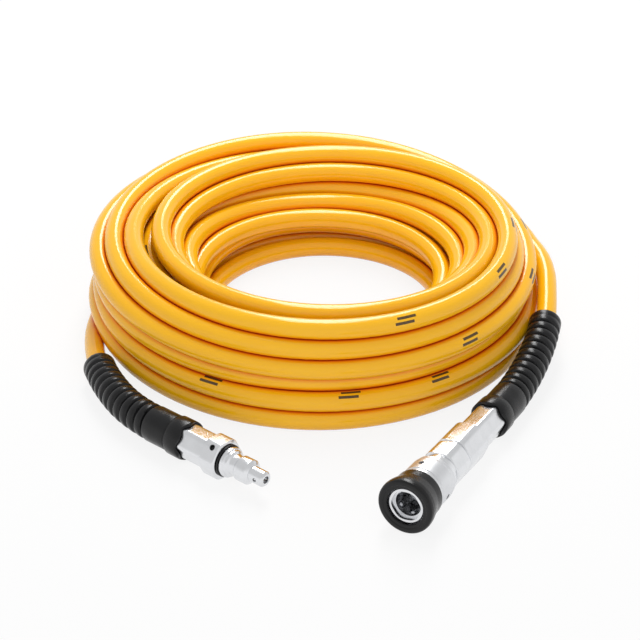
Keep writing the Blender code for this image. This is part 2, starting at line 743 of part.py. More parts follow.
def make_valve(axis):
    """The self-closing valve: poppet, its seal, its spring, and the seat that the spring pushes on."""
    disc_front = SEAT_BACK - 2 * CLEAR - VALVE_SEAL_THICK
    disc_back = disc_front - POPPET_DISC
    stem_back = disc_back - STEM_LENGTH
    turned(
        "valve_poppet",
        [
            (0.0, SEAT_FRONT - CLEAR),
            (POPPET_NOSE_R - 0.5, SEAT_FRONT - CLEAR),
            (POPPET_NOSE_R, SEAT_FRONT - CLEAR - 0.5),
            (POPPET_NOSE_R, disc_front),
            (POPPET_R, disc_front),
            (POPPET_R, disc_back),
            (STEM_R, disc_back),
            (STEM_R, stem_back),
            (0.0, stem_back),
        ],
        NICKEL,
        axis,
        sides=20,
    )
    seal_front = SEAT_BACK - CLEAR
    seal = tube_profile(POPPET_R - 0.1, POPPET_NOSE_R + CLEAR, seal_front, seal_front - VALVE_SEAL_THICK)
    turned("valve_seal", seal, RUBBER, axis, sides=20)
    seat_outer = VALVE_ROOM_R - CLEAR
    seat_front = BODY_HEX_BACK + SPRING_SEAT_WALL
    turned(
        "valve_spring_seat",
        [
            (STEM_R + 0.5, seat_front),
            (seat_outer, seat_front),
            (seat_outer, BODY_SPIGOT_BACK),
            (seat_outer - 0.6, BODY_SPIGOT_BACK),
            (seat_outer - 0.6, seat_front - SPRING_SEAT_WALL),
            (STEM_R + 0.5, seat_front - SPRING_SEAT_WALL),
        ],
        NICKEL,
        axis,
        sides=20,
    )
    make_spring(
        "valve_spring",
        VALVE_SPRING_R,
        VALVE_SPRING_WIRE_R,
        VALVE_SPRING_TURNS,
        seat_front + CLEAR,
        disc_back - CLEAR,
        axis,
    )


def make_packing(axis):
    """The rubber packing that seals on the plug's tip, and the ring that keeps it in."""
    back = SEAT_FRONT + CLEAR
    front = back + PACKING_LENGTH
    outer = PLUG_ROOM_R - CLEAR
    turned("socket_packing", tube_profile(outer, PACKING_R, front, back), RUBBER, axis, sides=20)
    ring = tube_profile(outer, outer - 0.55, front + CLEAR + PACKING_RING, front + CLEAR)
    turned("packing_ring", ring, NICKEL, axis, sides=20)


def make_socket(axis):
    make_socket_rear(axis)
    make_socket_body(axis)
    make_valve(axis)
    make_packing(axis)
    make_balls(axis)
    make_sleeve(axis)
    make_bumper(axis)
    radius = WAIST_R + 0.4 + SPRING_WIRE_R
    make_spring(
        "sleeve_spring",
        radius,
        SPRING_WIRE_R,
        SPRING_TURNS,
        GUIDE_FRONT + CLEAR,
        SLEEVE_LAND_BACK - CLEAR,
        axis,
    )


# ---------------------------------------------------------------- the whole object
clear_scene()
PARTS = collection("coiled_air_hose")
CUTTERS = collection("cutters", hidden=True)
HOSE = material("hose_yellow", (0.90, 0.46, 0.02), 0.28)
RUBBER = material("black_rubber", (0.012, 0.012, 0.013), 0.42)
NICKEL = material("nickel_plate", (0.78, 0.78, 0.80), 0.16, 1.0)
SATIN = material("satin_nickel", (0.76, 0.77, 0.79), 0.34, 1.0)
STEEL = material("spring_steel", (0.55, 0.56, 0.58), 0.25, 1.0)

plug_axis = axis_empty("plug_axis", point(*PLUG_POSITION, COUPLING_HEIGHT), PLUG_HEADING, 0.0, PLUG_ROLL)
socket_axis = axis_empty(
    "socket_axis", point(*SOCKET_POSITION, COUPLING_HEIGHT), SOCKET_HEADING, SOCKET_RISE, SOCKET_ROLL
)
bpy.context.view_layer.update()

make_coil()
for end, axis, route, nut_extra in (
    ("plug", plug_axis, PLUG_ROUTE, 0.0),
    ("socket", socket_axis, SOCKET_ROUTE, SOCKET_NUT_EXTRA),
):
    guide = make_tail(f"hose_tail_{end}", axis, route, nut_extra)
    make_guard(f"{end}_bend_guard", guide, nut_extra)
    make_cap_nut(f"{end}_cap_nut", axis, nut_extra)
    make_nipple(f"{end}_nipple", axis)
make_plug(plug_axis)
make_socket(socket_axis)
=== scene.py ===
"""Coiled air hose with a swivelling plug and a quick-release socket: the finished look of every piece.

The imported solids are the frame. Each piece here is a surface worked out with numpy, in the place that its
solid holds. Shapes are written in millimetres, as on a drawing, and MM turns them into metres. Each coupling
has its own axis: station 0 is the mouth of its bend guard, and stations grow towards its open end.
"""

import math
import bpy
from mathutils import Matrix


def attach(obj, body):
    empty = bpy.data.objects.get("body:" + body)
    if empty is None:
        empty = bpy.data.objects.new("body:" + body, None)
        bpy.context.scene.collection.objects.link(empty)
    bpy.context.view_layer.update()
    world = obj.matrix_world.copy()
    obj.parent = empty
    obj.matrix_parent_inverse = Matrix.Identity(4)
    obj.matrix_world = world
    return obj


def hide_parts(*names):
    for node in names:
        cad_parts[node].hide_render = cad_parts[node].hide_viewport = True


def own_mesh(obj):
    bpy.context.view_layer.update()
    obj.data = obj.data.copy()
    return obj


bl_info = {
    "name": "Coiled air hose",
    "version": (1, 0, 0),
    "blender": (4, 5, 0),
    "location": "3D View > Sidebar > Air hose",
    "description": "Builds a coiled air hose with its bend guards, plug and quick-release socket",
    "category": "Add Mesh",
}

import bmesh
import bpy
import numpy as np
from bpy.props import FloatProperty, FloatVectorProperty, IntProperty, PointerProperty
from mathutils import Matrix, Vector

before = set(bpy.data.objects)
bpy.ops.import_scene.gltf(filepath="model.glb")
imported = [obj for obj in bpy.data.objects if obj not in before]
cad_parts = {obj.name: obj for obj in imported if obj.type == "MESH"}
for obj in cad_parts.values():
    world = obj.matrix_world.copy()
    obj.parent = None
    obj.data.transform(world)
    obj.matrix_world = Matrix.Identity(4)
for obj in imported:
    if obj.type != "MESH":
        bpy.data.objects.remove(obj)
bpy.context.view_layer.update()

MM = 0.001

# ---------------------------------------------------------------- places, from the coil's centre
COIL_CENTRE = (-0.3, 40.64)
PLUG_PLACE = (-55.9, -122.5, 9.5)
PLUG_HEADING, PLUG_RISE, PLUG_ROLL = -41.5, 0.0, 24.8
SOCKET_PLACE = (69.53, -111.17, 9.5)
SOCKET_HEADING, SOCKET_RISE, SOCKET_ROLL = -118.6, 2.609, -22.2
HOSE_END = 11.2  # station of the hose's cut end inside its nut
STRAIGHT_RUN = 18.0  # of the hose from its cut end, before it bends away from the coupling's axis
SOCKET_NUT_EXTRA = 6.0  # how much further back the socket's nut reaches than the plug's
PLUG_ROUTE = (
    (-75.6, -104.4, 9.2), (-85.6, -91.6, 9.0), (-94.0, -74.6, 8.6), (-99.6, -57.0, 7.6),
    (-102.4, -40.0, 5.8), (-103.2, -24.0, 4.8), (-101.6, -8.0, 4.6), (-98.6, 7.0, 4.6),
    (-94.8, 22.0, 4.6), (-89.9, 36.0, 4.6),
)
SOCKET_ROUTE = (
    (83.8, -84.8, 8.7), (91.6, -68.0, 10.7), (98.0, -50.2, 13.9), (101.9, -33.0, 16.9),
    (103.6, -15.0, 19.2), (104.1, 1.0, 20.4), (102.4, 15.0, 20.9), (97.8, 29.0, 21.0),
)

# ---------------------------------------------------------------- how the hose is wound
# The hose's place in the bundle at each quarter turn, as (radius, height) in hose diameters: where it passes
# the left, the back, the right and the front, in the order that it runs from the plug to the socket.
TURNS = (
    ((10.95, 0.51), (10.65, 0.50), (10.55, 0.50), (10.95, 0.50)),
    ((11.50, 1.28), (10.75, 1.35), (10.65, 1.38), (10.80, 1.42)),
    ((11.30, 2.27), (10.75, 2.40), (10.05, 2.30), (10.20, 2.38)),
    ((11.32, 3.20), (10.05, 3.15), (9.45, 3.00), (9.62, 3.25)),
    ((10.40, 2.75), (9.60, 2.35), (9.20, 2.25), (9.30, 2.30)),
    ((10.35, 1.70), (9.95, 1.42), (9.65, 1.37), (9.70, 1.40)),
    ((9.90, 0.50), (9.60, 0.50), (9.40, 0.50), (9.80, 0.50)),
    ((8.80, 0.50), (8.55, 0.50), (8.38, 0.50), (8.70, 0.50)),
    ((9.20, 1.42), (8.95, 1.40), (8.70, 1.37), (8.90, 1.40)),
    ((9.35, 2.42), (8.75, 2.20), (8.25, 2.25), (8.40, 2.30)),
    ((8.81, 4.00), (9.05, 3.05), (8.60, 3.20), (8.75, 3.40)),
    ((8.30, 2.50), (7.40, 2.10), (7.30, 2.25), (7.50, 2.20)),
    ((7.90, 1.50), (7.95, 1.40), (7.75, 1.37), (7.95, 1.40)),
    ((7.00, 0.50), (7.10, 0.50), (7.35, 0.50), (7.45, 0.50)),
    ((5.87, 0.50), (6.05, 0.50), (6.32, 0.50), (6.30, 0.50)),
    ((6.30, 1.42), (7.25, 1.38), (6.80, 1.37), (6.90, 1.35)),
    ((6.45, 2.38), (6.05, 2.30), (6.35, 2.25), (6.50, 2.25)),
    ((6.92, 3.28), (7.10, 2.28), (7.32, 2.92), (7.00, 3.00)),
    ((7.80, 3.15), (7.95, 2.80), (7.88, 3.82), (7.45, 4.15)),
    ((7.50, 4.12), (8.05, 3.78), (8.60, 4.42), (8.26, 4.85)),
    ((8.07, 4.95), (8.70, 4.50), (9.45, 4.80), (10.35, 5.05)),
    ((9.45, 4.95), (9.55, 3.90), (9.75, 3.78), (10.56, 4.08)),
    ((10.55, 4.70), (10.25, 4.77), (10.32, 3.10), (10.50, 3.10)),
    ((11.25, 4.00), (10.90, 3.75), (11.30, 2.35), (11.30, 2.35)),
)
STEPS = 96  # rings in each turn
SETTLE_ROUNDS = 400


def point(x, y, z=0.0):
    """A place given from the coil's centre, in metres in the world."""
    return np.array([x + COIL_CENTRE[0], y + COIL_CENTRE[1], z]) * MM


def coupling_axis(place, heading, rise, roll):
    """The coupling's axis as a matrix: +Z out of its open end, at `heading` from +X and `rise` over level."""
    out = Matrix.Rotation(math.radians(heading), 4, "Z") @ Matrix.Rotation(math.radians(90 - rise), 4, "Y")
    turn = Matrix.Rotation(math.radians(roll), 4, "Z")
    return np.array(Matrix.Translation(Vector(point(*place))) @ out @ turn)


PLUG_AXIS = coupling_axis(PLUG_PLACE, PLUG_HEADING, PLUG_RISE, PLUG_ROLL)
SOCKET_AXIS = coupling_axis(SOCKET_PLACE, SOCKET_HEADING, SOCKET_RISE, SOCKET_ROLL)


# ---------------------------------------------------------------- settings
def length(name, description, default, top=0.5):
    return FloatProperty(
        name=name,
        description=description,
        default=default,
        min=0.0,
        max=top,
        precision=4,
        subtype="DISTANCE",
        unit="LENGTH",
    )


def amount(name, description, default, low, high):
    return FloatProperty(name=name, description=description, default=default, min=low, max=high)


def share(name, description, default):
    return FloatProperty(name=name, description=description, default=default, min=0.0, max=1.0, subtype="FACTOR")


def colour(name, description, default):
    return FloatVectorProperty(
        name=name, description=description, default=default, min=0.0, max=1.0, size=3, subtype="COLOR"
    )


class HoseSettings(bpy.types.PropertyGroup):
    diameter: length("Diameter", "Outside diameter of the hose", 0.009)
    bore: length("Bore", "Inside diameter of the hose", 0.005)
    sides: IntProperty(name="Sides", description="Facets round the hose", default=28, min=8, max=48)
    tint: colour("Colour", "Colour of the hose", (0.95, 0.50, 0.006))
    deep: colour("Deep colour", "Colour of the hose where it is a little darker", (0.94, 0.46, 0.005))
    # The next two colours are painted into the skin where the turns come near each other: a darker, redder painted
    # shade, and a deep red painted glow of light through the plastic.
    painted_shade: colour("Warm colour", "Colour of the hose where its turns come near each other", (0.90, 0.28, 0.004))
    glow: colour("Glow colour", "Colour of the light that comes through between the turns", (0.60, 0.05, 0.008))
    gloss: share("Roughness", "Roughness of the hose's skin", 0.17)
    mark: colour("Mark colour", "Colour of the printed bars", (0.035, 0.022, 0.012))


class GuardSettings(bpy.types.PropertyGroup):
    length: length("Length", "Length of the bend guard along the hose", 0.077)
    collar: length("Collar diameter", "Outside diameter of the collar", 0.0178)
    ribs: IntProperty(name="Ribs", description="Number of ribs", default=11, min=1, max=30)
    rib_depth: length("Rib depth", "Depth of the grooves between the ribs", 0.0013)
    tint: colour("Colour", "Colour of the rubber", (0.0045, 0.0045, 0.005))
    roughness: share("Roughness", "Roughness of the rubber", 0.22)


class FittingSettings(bpy.types.PropertyGroup):
    hexagon: length("Across flats", "Width across the flats of the bodies", 0.017)
    nut: length("Nut across flats", "Width across the flats of the cap nuts", 0.014)
    plating: colour("Plating", "Colour of the bright nickel plate", (0.78, 0.79, 0.81))
    satin: colour("Satin plating", "Colour of the sleeve's satin plate", (0.74, 0.75, 0.77))
    roughness: share("Roughness", "Roughness of the bright plate", 0.2)
    satin_roughness: share("Satin roughness", "Roughness of the sleeve", 0.36)


class StageSettings(bpy.types.PropertyGroup):
    lens: amount("Lens", "Focal length of the camera in millimetres", 148.76, 10, 500)
    pitch: FloatProperty(
        name="Pitch",
        description="How far the camera looks down",
        default=math.radians(31.06),
        subtype="ANGLE",
        unit="ROTATION",
    )
    reach: length("Reach", "Level distance from the camera to the coil's centre", 1.0593, 10)
    height: length("Height", "Height of the camera", 0.6338, 10)
    softbox: amount("Softbox", "Power of the overhead softbox in watts", 8.8, 0, 500)
    ambient: share("Ambient", "Strength of the light from all round", 0.33)
    fill: amount("Fill", "How much stronger that light is from in front", 1.15, 0, 5)
    mirrored: share("Mirrored", "Strength of the light from overhead as bright surfaces mirror it", 0.7)
    floor: colour("Floor", "Colour of the floor", (0.86, 0.86, 0.86))


class AirHoseSettings(bpy.types.PropertyGroup):
    hose: PointerProperty(type=HoseSettings)
    guard: PointerProperty(type=GuardSettings)
    fitting: PointerProperty(type=FittingSettings)
    stage: PointerProperty(type=StageSettings)


# ---------------------------------------------------------------- surfaces
def placed(local, axis):
    """Points given in millimetres on a coupling's own axis, in metres in the world."""
    return (local * MM) @ axis[:3, :3].T + axis[:3, 3]


def rings(angle, first, second):
    """Circles round a path: cos a first + sin a second, for the two unit vectors at each point and each angle a."""
    return np.cos(angle)[:, None] * first[:, None] + np.sin(angle)[:, None] * second[:, None]


def grid_mesh(name, grid, closed_along=False, uv=None):
    """A mesh from a grid of points, rows along the piece and columns round it.

    Face (i, j) joins points (i, j), (i, j+1), (i+1, j+1) and (i+1, j), and the last column joins the first.
    With closed_along the last row joins the first too. uv gives each row's u; v runs from 0 to 1 round it.
    """
    rows, columns = grid.shape[:2]
    i = np.arange(rows if closed_along else rows - 1)[:, None]
    j = np.arange(columns)[None, :]
    after, beside = (i + 1) % rows, (j + 1) % columns
    near, far = i * columns, after * columns
    faces = np.stack([near + j, near + beside, far + beside, far + j], axis=2)
    mesh = bpy.data.meshes.new(name)
    mesh.vertices.add(rows * columns)
    mesh.vertices.foreach_set("co", grid.astype(np.float32).ravel())
    flat = faces.reshape(-1).astype(np.int32)
    mesh.loops.add(len(flat))
    mesh.loops.foreach_set("vertex_index", flat)
    mesh.polygons.add(len(flat) // 4)
    mesh.polygons.foreach_set("loop_start", np.arange(0, len(flat), 4, dtype=np.int32))
    layer = mesh.uv_layers.new(name="Run")
    run = np.arange(rows, dtype=float) if uv is None else np.asarray(uv, float)
    run = np.concatenate([run, run[:1]])
    near, far = run[:-1][i[:, 0]], run[1:][i[:, 0]]
    u = np.stack([near, near, far, far], axis=1)[:, None, :].repeat(columns, axis=1)
    v = (np.stack([j[0], j[0] + 1, j[0] + 1, j[0]], axis=1) / columns)[None].repeat(len(i), axis=0)
    layer.data.foreach_set("uv", np.stack([u, v], axis=3).astype(np.float32).ravel())
    mesh.update(calc_edges=True)
    mesh.validate()
    return mesh


SHARP = 35.0  # degrees between two faces, past which their edge is crisp


def finish_mesh(mesh, sharp=SHARP):
    """Merges what meets at a pole, turns every face outward, and shades smooth with crisp edges."""
    shape = bmesh.new()
    shape.from_mesh(mesh)
    bmesh.ops.remove_doubles(shape, verts=shape.verts, dist=2e-7)
    bmesh.ops.dissolve_degenerate(shape, edges=shape.edges, dist=1e-8)
    bmesh.ops.recalc_face_normals(shape, faces=shape.faces)
    if shape.calc_volume(signed=True) < 0:
        bmesh.ops.reverse_faces(shape, faces=shape.faces)
    shape.to_mesh(mesh)
    shape.free()
    mesh.shade_smooth()
    mesh.set_sharp_from_angle(angle=math.radians(sharp))


def add_piece(name, mesh, finish, body, slot, *nodes):
    """Puts a finished mesh into the scene as a piece that rides on a body and stands for CAD nodes."""
    if not mesh.polygons:
        raise RuntimeError(f"{name} came out empty")
    piece = bpy.data.objects.new(name, mesh)
    bpy.context.scene.collection.objects.link(piece)
    mesh.materials.clear()
    mesh.materials.append(finish)
    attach(piece, body)
    if nodes:
        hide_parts(*nodes)
    return piece


def softened(profile, radius=0.15, closed=True):
    """The outline with each corner rounded: a parabola between points `radius` before and after it.

    B(t) = (1-t)^2 a + 2 t (1-t) c + t^2 b, with c the corner, and a and b at most 0.45 of each edge away.
    """
    corner = np.array(profile, float)
    before, after = np.roll(corner, 1, axis=0), np.roll(corner, -1, axis=0)
    reach = [np.linalg.norm(other - corner, axis=1, keepdims=True) for other in (before, after)]
    ends = [
        corner + (other - corner) * np.minimum(radius / np.maximum(far, 1e-9), 0.45)
        for other, far in zip((before, after), reach)
    ]
    t = np.linspace(0, 1, 4)[None, :, None]
    curve = (1 - t) ** 2 * ends[0][:, None] + 2 * t * (1 - t) * corner[:, None] + t**2 * ends[1][:, None]
    if not closed:  # the ends lie on the axis, and stay where they are
        curve[0], curve[-1] = corner[0], corner[-1]
    return curve.reshape(-1, 2)


def divided(profile, longest, closed=True):
    """The outline with points added so that no edge whose radius changes is over `longest`."""
    points = np.array(profile, float)
    following = np.roll(points, -1, axis=0)
    count = np.maximum(1, np.ceil(np.abs(following - points)[:, 0] / longest).astype(int))
    if not closed:
        count[-1] = 1
    index = np.repeat(np.arange(len(points)), count)
    within = np.concatenate([np.arange(n) / n for n in count])[:, None]
    return points[index] * (1 - within) + following[index] * within


def smooth_min(a, b, blend):
    """The smaller of a and b, rounded where they meet.

    It is min(a, b) - h^2 blend / 4, where h = max(blend - |a - b|, 0) / blend.
    """
    h = np.maximum(blend - np.abs(a - b), 0) / blend
    return np.minimum(a, b) - h * h * blend / 4


def hexagon_radius(angle, flats):
    """Distance from the axis to a hexagon's side: (flats / 2) / cos(a), a measured from the nearest flat."""
    return flats / 2 / np.cos((angle + math.pi / 6) % (math.pi / 3) - math.pi / 6)


HEX_STEP = 0.12  # longest step in radius on a hexagon's chamfers
HEX_DEPTH = 1.2  # how far inside a hexagon's flats the blank is still cut
HEX_BLEND = 0.3  # rounding where a flat meets the blank


def turned(name, profile, axis, flats=None, sides=96, round_off=0.15, closed=True, wave=None):
    """A turned piece: p = axis point at the station + r (cos a x + sin a y), for each outline point and angle a.

    Where flats is given, r is the smaller of the outline's radius and the hexagon's, so that the turned
    blank is cut to a hexagon. wave(radius, angle, station) may change the radius further.
    """
    outline = softened(profile, round_off, closed)
    if flats:
        outline = divided(outline, HEX_STEP, closed)
    angle = np.arange(sides) * 2 * math.pi / sides
    radius = np.repeat(outline[:, :1], sides, axis=1)
    if flats:
        across = hexagon_radius(angle - math.pi / 6, flats)[None]
        radius = np.where(radius > flats / 2 - HEX_DEPTH, smooth_min(radius, across, HEX_BLEND), radius)
    if wave:
        radius = wave(radius, angle[None], outline[:, 1:])
    station = np.repeat(outline[:, 1:], sides, axis=1)
    local = np.stack([radius * np.cos(angle), radius * np.sin(angle), station], axis=2)
    mesh = grid_mesh(name, placed(local, axis), closed, outline[:, 1] * MM)
    finish_mesh(mesh)
    return mesh


def hole_tool(name, axis, radius, turn, start, end, station):
    """A round bar across a coupling at `turn` degrees, from `start` to `end` off its axis, to drill with."""
    local = Matrix.Translation((0, 0, station * MM)) @ Matrix.Rotation(math.radians(turn), 4, "Z")
    tool_axis = axis @ np.array(local @ Matrix.Rotation(math.radians(90), 4, "Y"))
    outline = [(0.0, start), (radius, start), (radius, end), (0.0, end)]
    return turned(name, outline, tool_axis, sides=32, round_off=0.0, closed=False)


def drilled(mesh, tools):
    """The mesh with every tool taken out of it."""
    scene = bpy.context.scene.collection
    work = bpy.data.objects.new(mesh.name + "_work", mesh)
    scene.objects.link(work)
    bars = []
    for tool in tools:
        bar = bpy.data.objects.new(tool.name, tool)
        scene.objects.link(bar)
        step = work.modifiers.new(tool.name, "BOOLEAN")
        step.operation, step.object, step.solver = "DIFFERENCE", bar, "MANIFOLD"
        bars.append(bar)
    bpy.context.view_layer.update()
    made = bpy.data.meshes.new_from_object(work.evaluated_get(bpy.context.evaluated_depsgraph_get()))
    made.name = mesh.name
    for helper in [work, *bars]:
        bpy.data.objects.remove(helper, do_unlink=True)
    made.set_sharp_from_angle(angle=math.radians(SHARP))
    return made


# ---------------------------------------------------------------- paths
def curve_through(points, count=24):
    """Points along a Catmull-Rom curve: p(t) = (2b + (c-a)t + (2a-5b+4c-d)t^2 + (3b-a-3c+d)t^3) / 2."""
    given = np.array(points, float)
    ends = np.concatenate([[2 * given[0] - given[1]], given, [2 * given[-1] - given[-2]]])
    a, b, c, d = (ends[k : len(ends) - 3 + k][:, None] for k in range(4))
    t = np.linspace(0, 1, count, endpoint=False)[None, :, None]
    curve = (2 * b + (c - a) * t + (2 * a - 5 * b + 4 * c - d) * t**2 + (3 * b - a - 3 * c + d) * t**3) / 2
    return np.concatenate([curve.reshape(-1, given.shape[1]), given[-1:]])


def distances(path):
    """How far along the path each of its points is."""
    return np.concatenate([[0], np.cumsum(np.linalg.norm(np.diff(path, axis=0), axis=1))])


def along(path, wanted):
    """Places on the path at the wanted distances."""
    far = distances(path)
    return np.stack([np.interp(wanted, far, path[:, k]) for k in range(3)], axis=-1)


def frames(path):
    """At each point of the path, as unit vectors: its direction t, level side s = up x t and upper side t x s."""
    ahead = np.gradient(path, axis=0)
    ahead /= np.linalg.norm(ahead, axis=1, keepdims=True)
    side = np.cross(np.array([0.0, 0.0, 1.0]), ahead)
    side /= np.linalg.norm(side, axis=1, keepdims=True)
    return ahead, side, np.cross(ahead, side)


def frames_at(path, place):
    """The path's directions, level sides and upper sides, read off at the wanted distances along it."""
    far = distances(path)
    return (np.stack([np.interp(place, far, vectors[:, k]) for k in range(3)], axis=1) for vectors in frames(path))


def tail_path(axis, route, nut_extra):
    """A hose end's own path, in metres: straight out of the fitting past its nut, then along its route."""
    straight = HOSE_END, HOSE_END - STRAIGHT_RUN - nut_extra
    end, start = (axis[:3, 3] + axis[:3, 2] * station * MM for station in straight)
    bend = curve_through([start, *(point(*place) for place in route)])
    return np.concatenate([np.linspace(end, start, 8, endpoint=False), bend])


PUSH_APART, DRAW_BACK, SMOOTHING, SMOOTH_ROUNDS = 0.4, 0.04, 0.25, 5  # shares taken in each round of settling
FAR_AWAY = 99.0  # in hose diameters, for rings that no turn may touch


def settled(radius, height, held):
    """Lets the turns settle: each pair nearer than one diameter is pushed apart, while each turn is drawn
    back to its own place, smoothed along its length and kept over the floor. held is 1 where it can't move.
    """
    count = len(radius)
    turns = -(-count // STEPS)
    spare = turns * STEPS - count
    own, free = (radius.copy(), height.copy()), 1 - held
    itself = np.eye(turns)[:, :, None] * FAR_AWAY
    for _ in range(SETTLE_ROUNDS):
        r = np.concatenate([radius, FAR_AWAY + 3 * np.arange(spare)]).reshape(turns, STEPS)
        z = np.concatenate([height, np.full(spare, FAR_AWAY)]).reshape(turns, STEPS)
        dr, dz = r[:, None] - r[None], z[:, None] - z[None]
        gap = np.sqrt(dr**2 + dz**2) + itself
        push = np.clip(1.0 - gap, 0, None) * PUSH_APART / np.maximum(gap, 1e-6)
        radius, height = (
            value + free * ((push * apart).sum(1).reshape(-1)[:count] + DRAW_BACK * (place - value))
            for value, apart, place in zip((radius, height), (dr, dz), own)
        )
        for _ in range(SMOOTH_ROUNDS):
            for value in (radius, height):
                value[1:-1] += SMOOTHING * free[1:-1] * (value[2:] + value[:-2] - 2 * value[1:-1])
        height = np.maximum(height, 0.5)
    return radius, height


def polar(path, diameter):
    """A path in metres as (turned angle from the right, radius, height), lengths in hose diameters."""
    x, y, z = (path - point(0, 0)).T
    return np.unwrap(np.arctan2(y, x)), np.hypot(x, y) / diameter, z / diameter


JOINING, HOLDING = 0.16, 0.05  # turns past a route's end over which the hose leaves it, and over which it is held
OVERLAP = 0.004  # turns that a route stops short of the coil's first ring


def hose_path(diameter):
    """The hose's centreline from its end in the plug's nut to its end in the socket's nut, in metres.

    Along the coil the angle falls steadily from the left, and the radius and height follow a curve through
    the places of TURNS. Towards the ends they go over to the two routes by the smooth step 3s^2 - 2s^3.
    """
    tails = [tail_path(PLUG_AXIS, PLUG_ROUTE, 0.0), tail_path(SOCKET_AXIS, SOCKET_ROUTE, SOCKET_NUT_EXTRA)]
    places = curve_through(np.array(TURNS).reshape(-1, 2), STEPS // 4)[: -STEPS // 4]
    before = STEPS // 12  # rings of the plug's tail that settle with the coil
    travel = np.arange(-before, len(places)) / STEPS
    radius, height = (np.concatenate([np.full(before, places[0, k]), places[:, k]]) for k in range(2))
    angle = math.pi - 2 * math.pi * travel
    held = np.zeros(len(travel))
    spans = []
    for tail, sign, end in ((tails[0], 1, 0.0), (tails[1], -1, travel[-1])):
        turned_by, far, high = polar(tail, diameter)
        span = (math.pi - turned_by) / (2 * math.pi)
        span += round(end - span[-1])
        order = np.argsort(span)
        over = sign * (travel - span[-1])  # how far past the route's end, in turns
        s = np.clip(1 - over / JOINING, 0, 1)
        s = s * s * (3 - 2 * s)
        radius = radius + (np.interp(travel, span[order], far[order]) - radius) * s
        height = height + (np.interp(travel, span[order], high[order]) - height) * s
        held = np.maximum(held, np.clip(1 - over / HOLDING, 0, 1))
        spans.append(span)
    radius, height = settled(radius, height, held)
    coil = np.stack([radius * np.cos(angle), radius * np.sin(angle), height], axis=1) * diameter + point(0, 0)
    start, finish = spans[0] < travel[0] - OVERLAP, spans[1] > travel[-1] + OVERLAP
    return np.concatenate([tails[0][start], coil, tails[1][finish][::-1]])


CREVICE = 0.3  # the gap between turns, in hose diameters, under which light starts to be lost


# Its result is the mask for the hose's painted shade and glow between the turns.
def between_turns(skin, centre, diameter):
    """How deep each point of the hose's rings lies between turns: 0 in the open, 1 where another turn touches.

    The other turns lie at the same angle round the coil, whole turns away. With g the gap to the nearest of
    their surfaces in hose diameters, it is 1 - g / CREVICE, kept between 0 and 1.
    """
    turned_by, far, high = (values[::-1] for values in polar(centre, diameter))
    away = skin - point(0, 0)
    radius, height = np.hypot(away[..., 0], away[..., 1]) / diameter, away[..., 2] / diameter
    nearest = np.full(radius.shape, FAR_AWAY)
    for turns in range(-len(TURNS), len(TURNS) + 1):
        if turns == 0:
            continue
        at = turned_by[::-1] + 2 * math.pi * turns
        ends = {"left": FAR_AWAY, "right": FAR_AWAY}
        other = [np.interp(at, turned_by, values, **ends)[:, None] for values in (far, high)]
        nearest = np.minimum(nearest, np.hypot(radius - other[0], height - other[1]))
    return np.clip(1 - (nearest - 0.5) / CREVICE, 0, 1)


# ---------------------------------------------------------------- shader pieces
class Nodes:
    """A node tree being written: each call adds a node, sets what it is given, and returns its output."""

    def __init__(self, tree):
        self.tree = tree

    def add(self, kind, inputs=None, out=0, **settings):
        """Adds a ShaderNode; out picks the output to return, or None the node itself."""
        node = self.tree.nodes.new("ShaderNode" + kind)
        for name, value in settings.items():
            setattr(node, name, value)
        for key, value in (inputs or {}).items():
            if isinstance(value, bpy.types.NodeSocket):
                self.tree.links.new(value, node.inputs[key])
            else:
                node.inputs[key].default_value = value
        return node.outputs[out] if out is not None else node

    def math(self, operation, a, b=0.0, c=0.0):
        return self.add("Math", {0: a, 1: b, 2: c}, operation=operation)

    def ramp(self, value, low, high, a=0.0, b=1.0):
        return self.add("MapRange", {"Value": value, "From Min": low, "From Max": high, "To Min": a, "To Max": b})

    def mix(self, amount_of_b, a, b):
        """A colour between a and b; the numbers are the Mix node's colour sockets."""
        return self.add("Mix", {0: amount_of_b, 6: a, 7: b}, out=2, data_type="RGBA")

    def noise(self, vector, scale, detail=2.0, roughness=0.5):
        inputs = {"Vector": vector, "Scale": scale, "Detail": detail, "Roughness": roughness}
        return self.add("TexNoise", inputs)

    def line_noise(self, along_it, scale, detail=2.0):
        return self.add("TexNoise", {"W": along_it, "Scale": scale, "Detail": detail}, noise_dimensions="1D")

    def group(self, tree, inputs):
        return self.add("Group", inputs, out=None, node_tree=tree).outputs

    def handling(self, groups, place, cloud, scratch):
        """The handling marks' outputs, at the two scales given."""
        return self.group(groups["handling"], {"Vector": place, "Cloud Scale": cloud, "Scratch Scale": scratch})

    def grain(self, groups, place, scale, swell_scale, swell):
        """The fine grain's height, at the two scales and with the share of swell given."""
        inputs = {"Vector": place, "Grain Scale": scale, "Swell Scale": swell_scale, "Swell": swell}
        return self.group(groups["grain"], inputs)["Height"]

    def bump(self, height, strength, distance=0.0001):
        return self.add("Bump", {"Height": height, "Strength": strength, "Distance": distance})


def new_group(name, inputs, outputs):
    """A node group with the named inputs and outputs; returns it, its writer, its inputs and its output node."""
    tree = bpy.data.node_groups.new(name, "ShaderNodeTree")
    for label, kind, value in inputs:
        socket = tree.interface.new_socket(label, in_out="INPUT", socket_type="NodeSocket" + kind)
        if value is not None:
            socket.default_value = value
    for label, kind in outputs:
        tree.interface.new_socket(label, in_out="OUTPUT", socket_type="NodeSocket" + kind)
    source = tree.nodes.new("NodeGroupInput").outputs
    return tree, Nodes(tree), source, tree.nodes.new("NodeGroupOutput").inputs


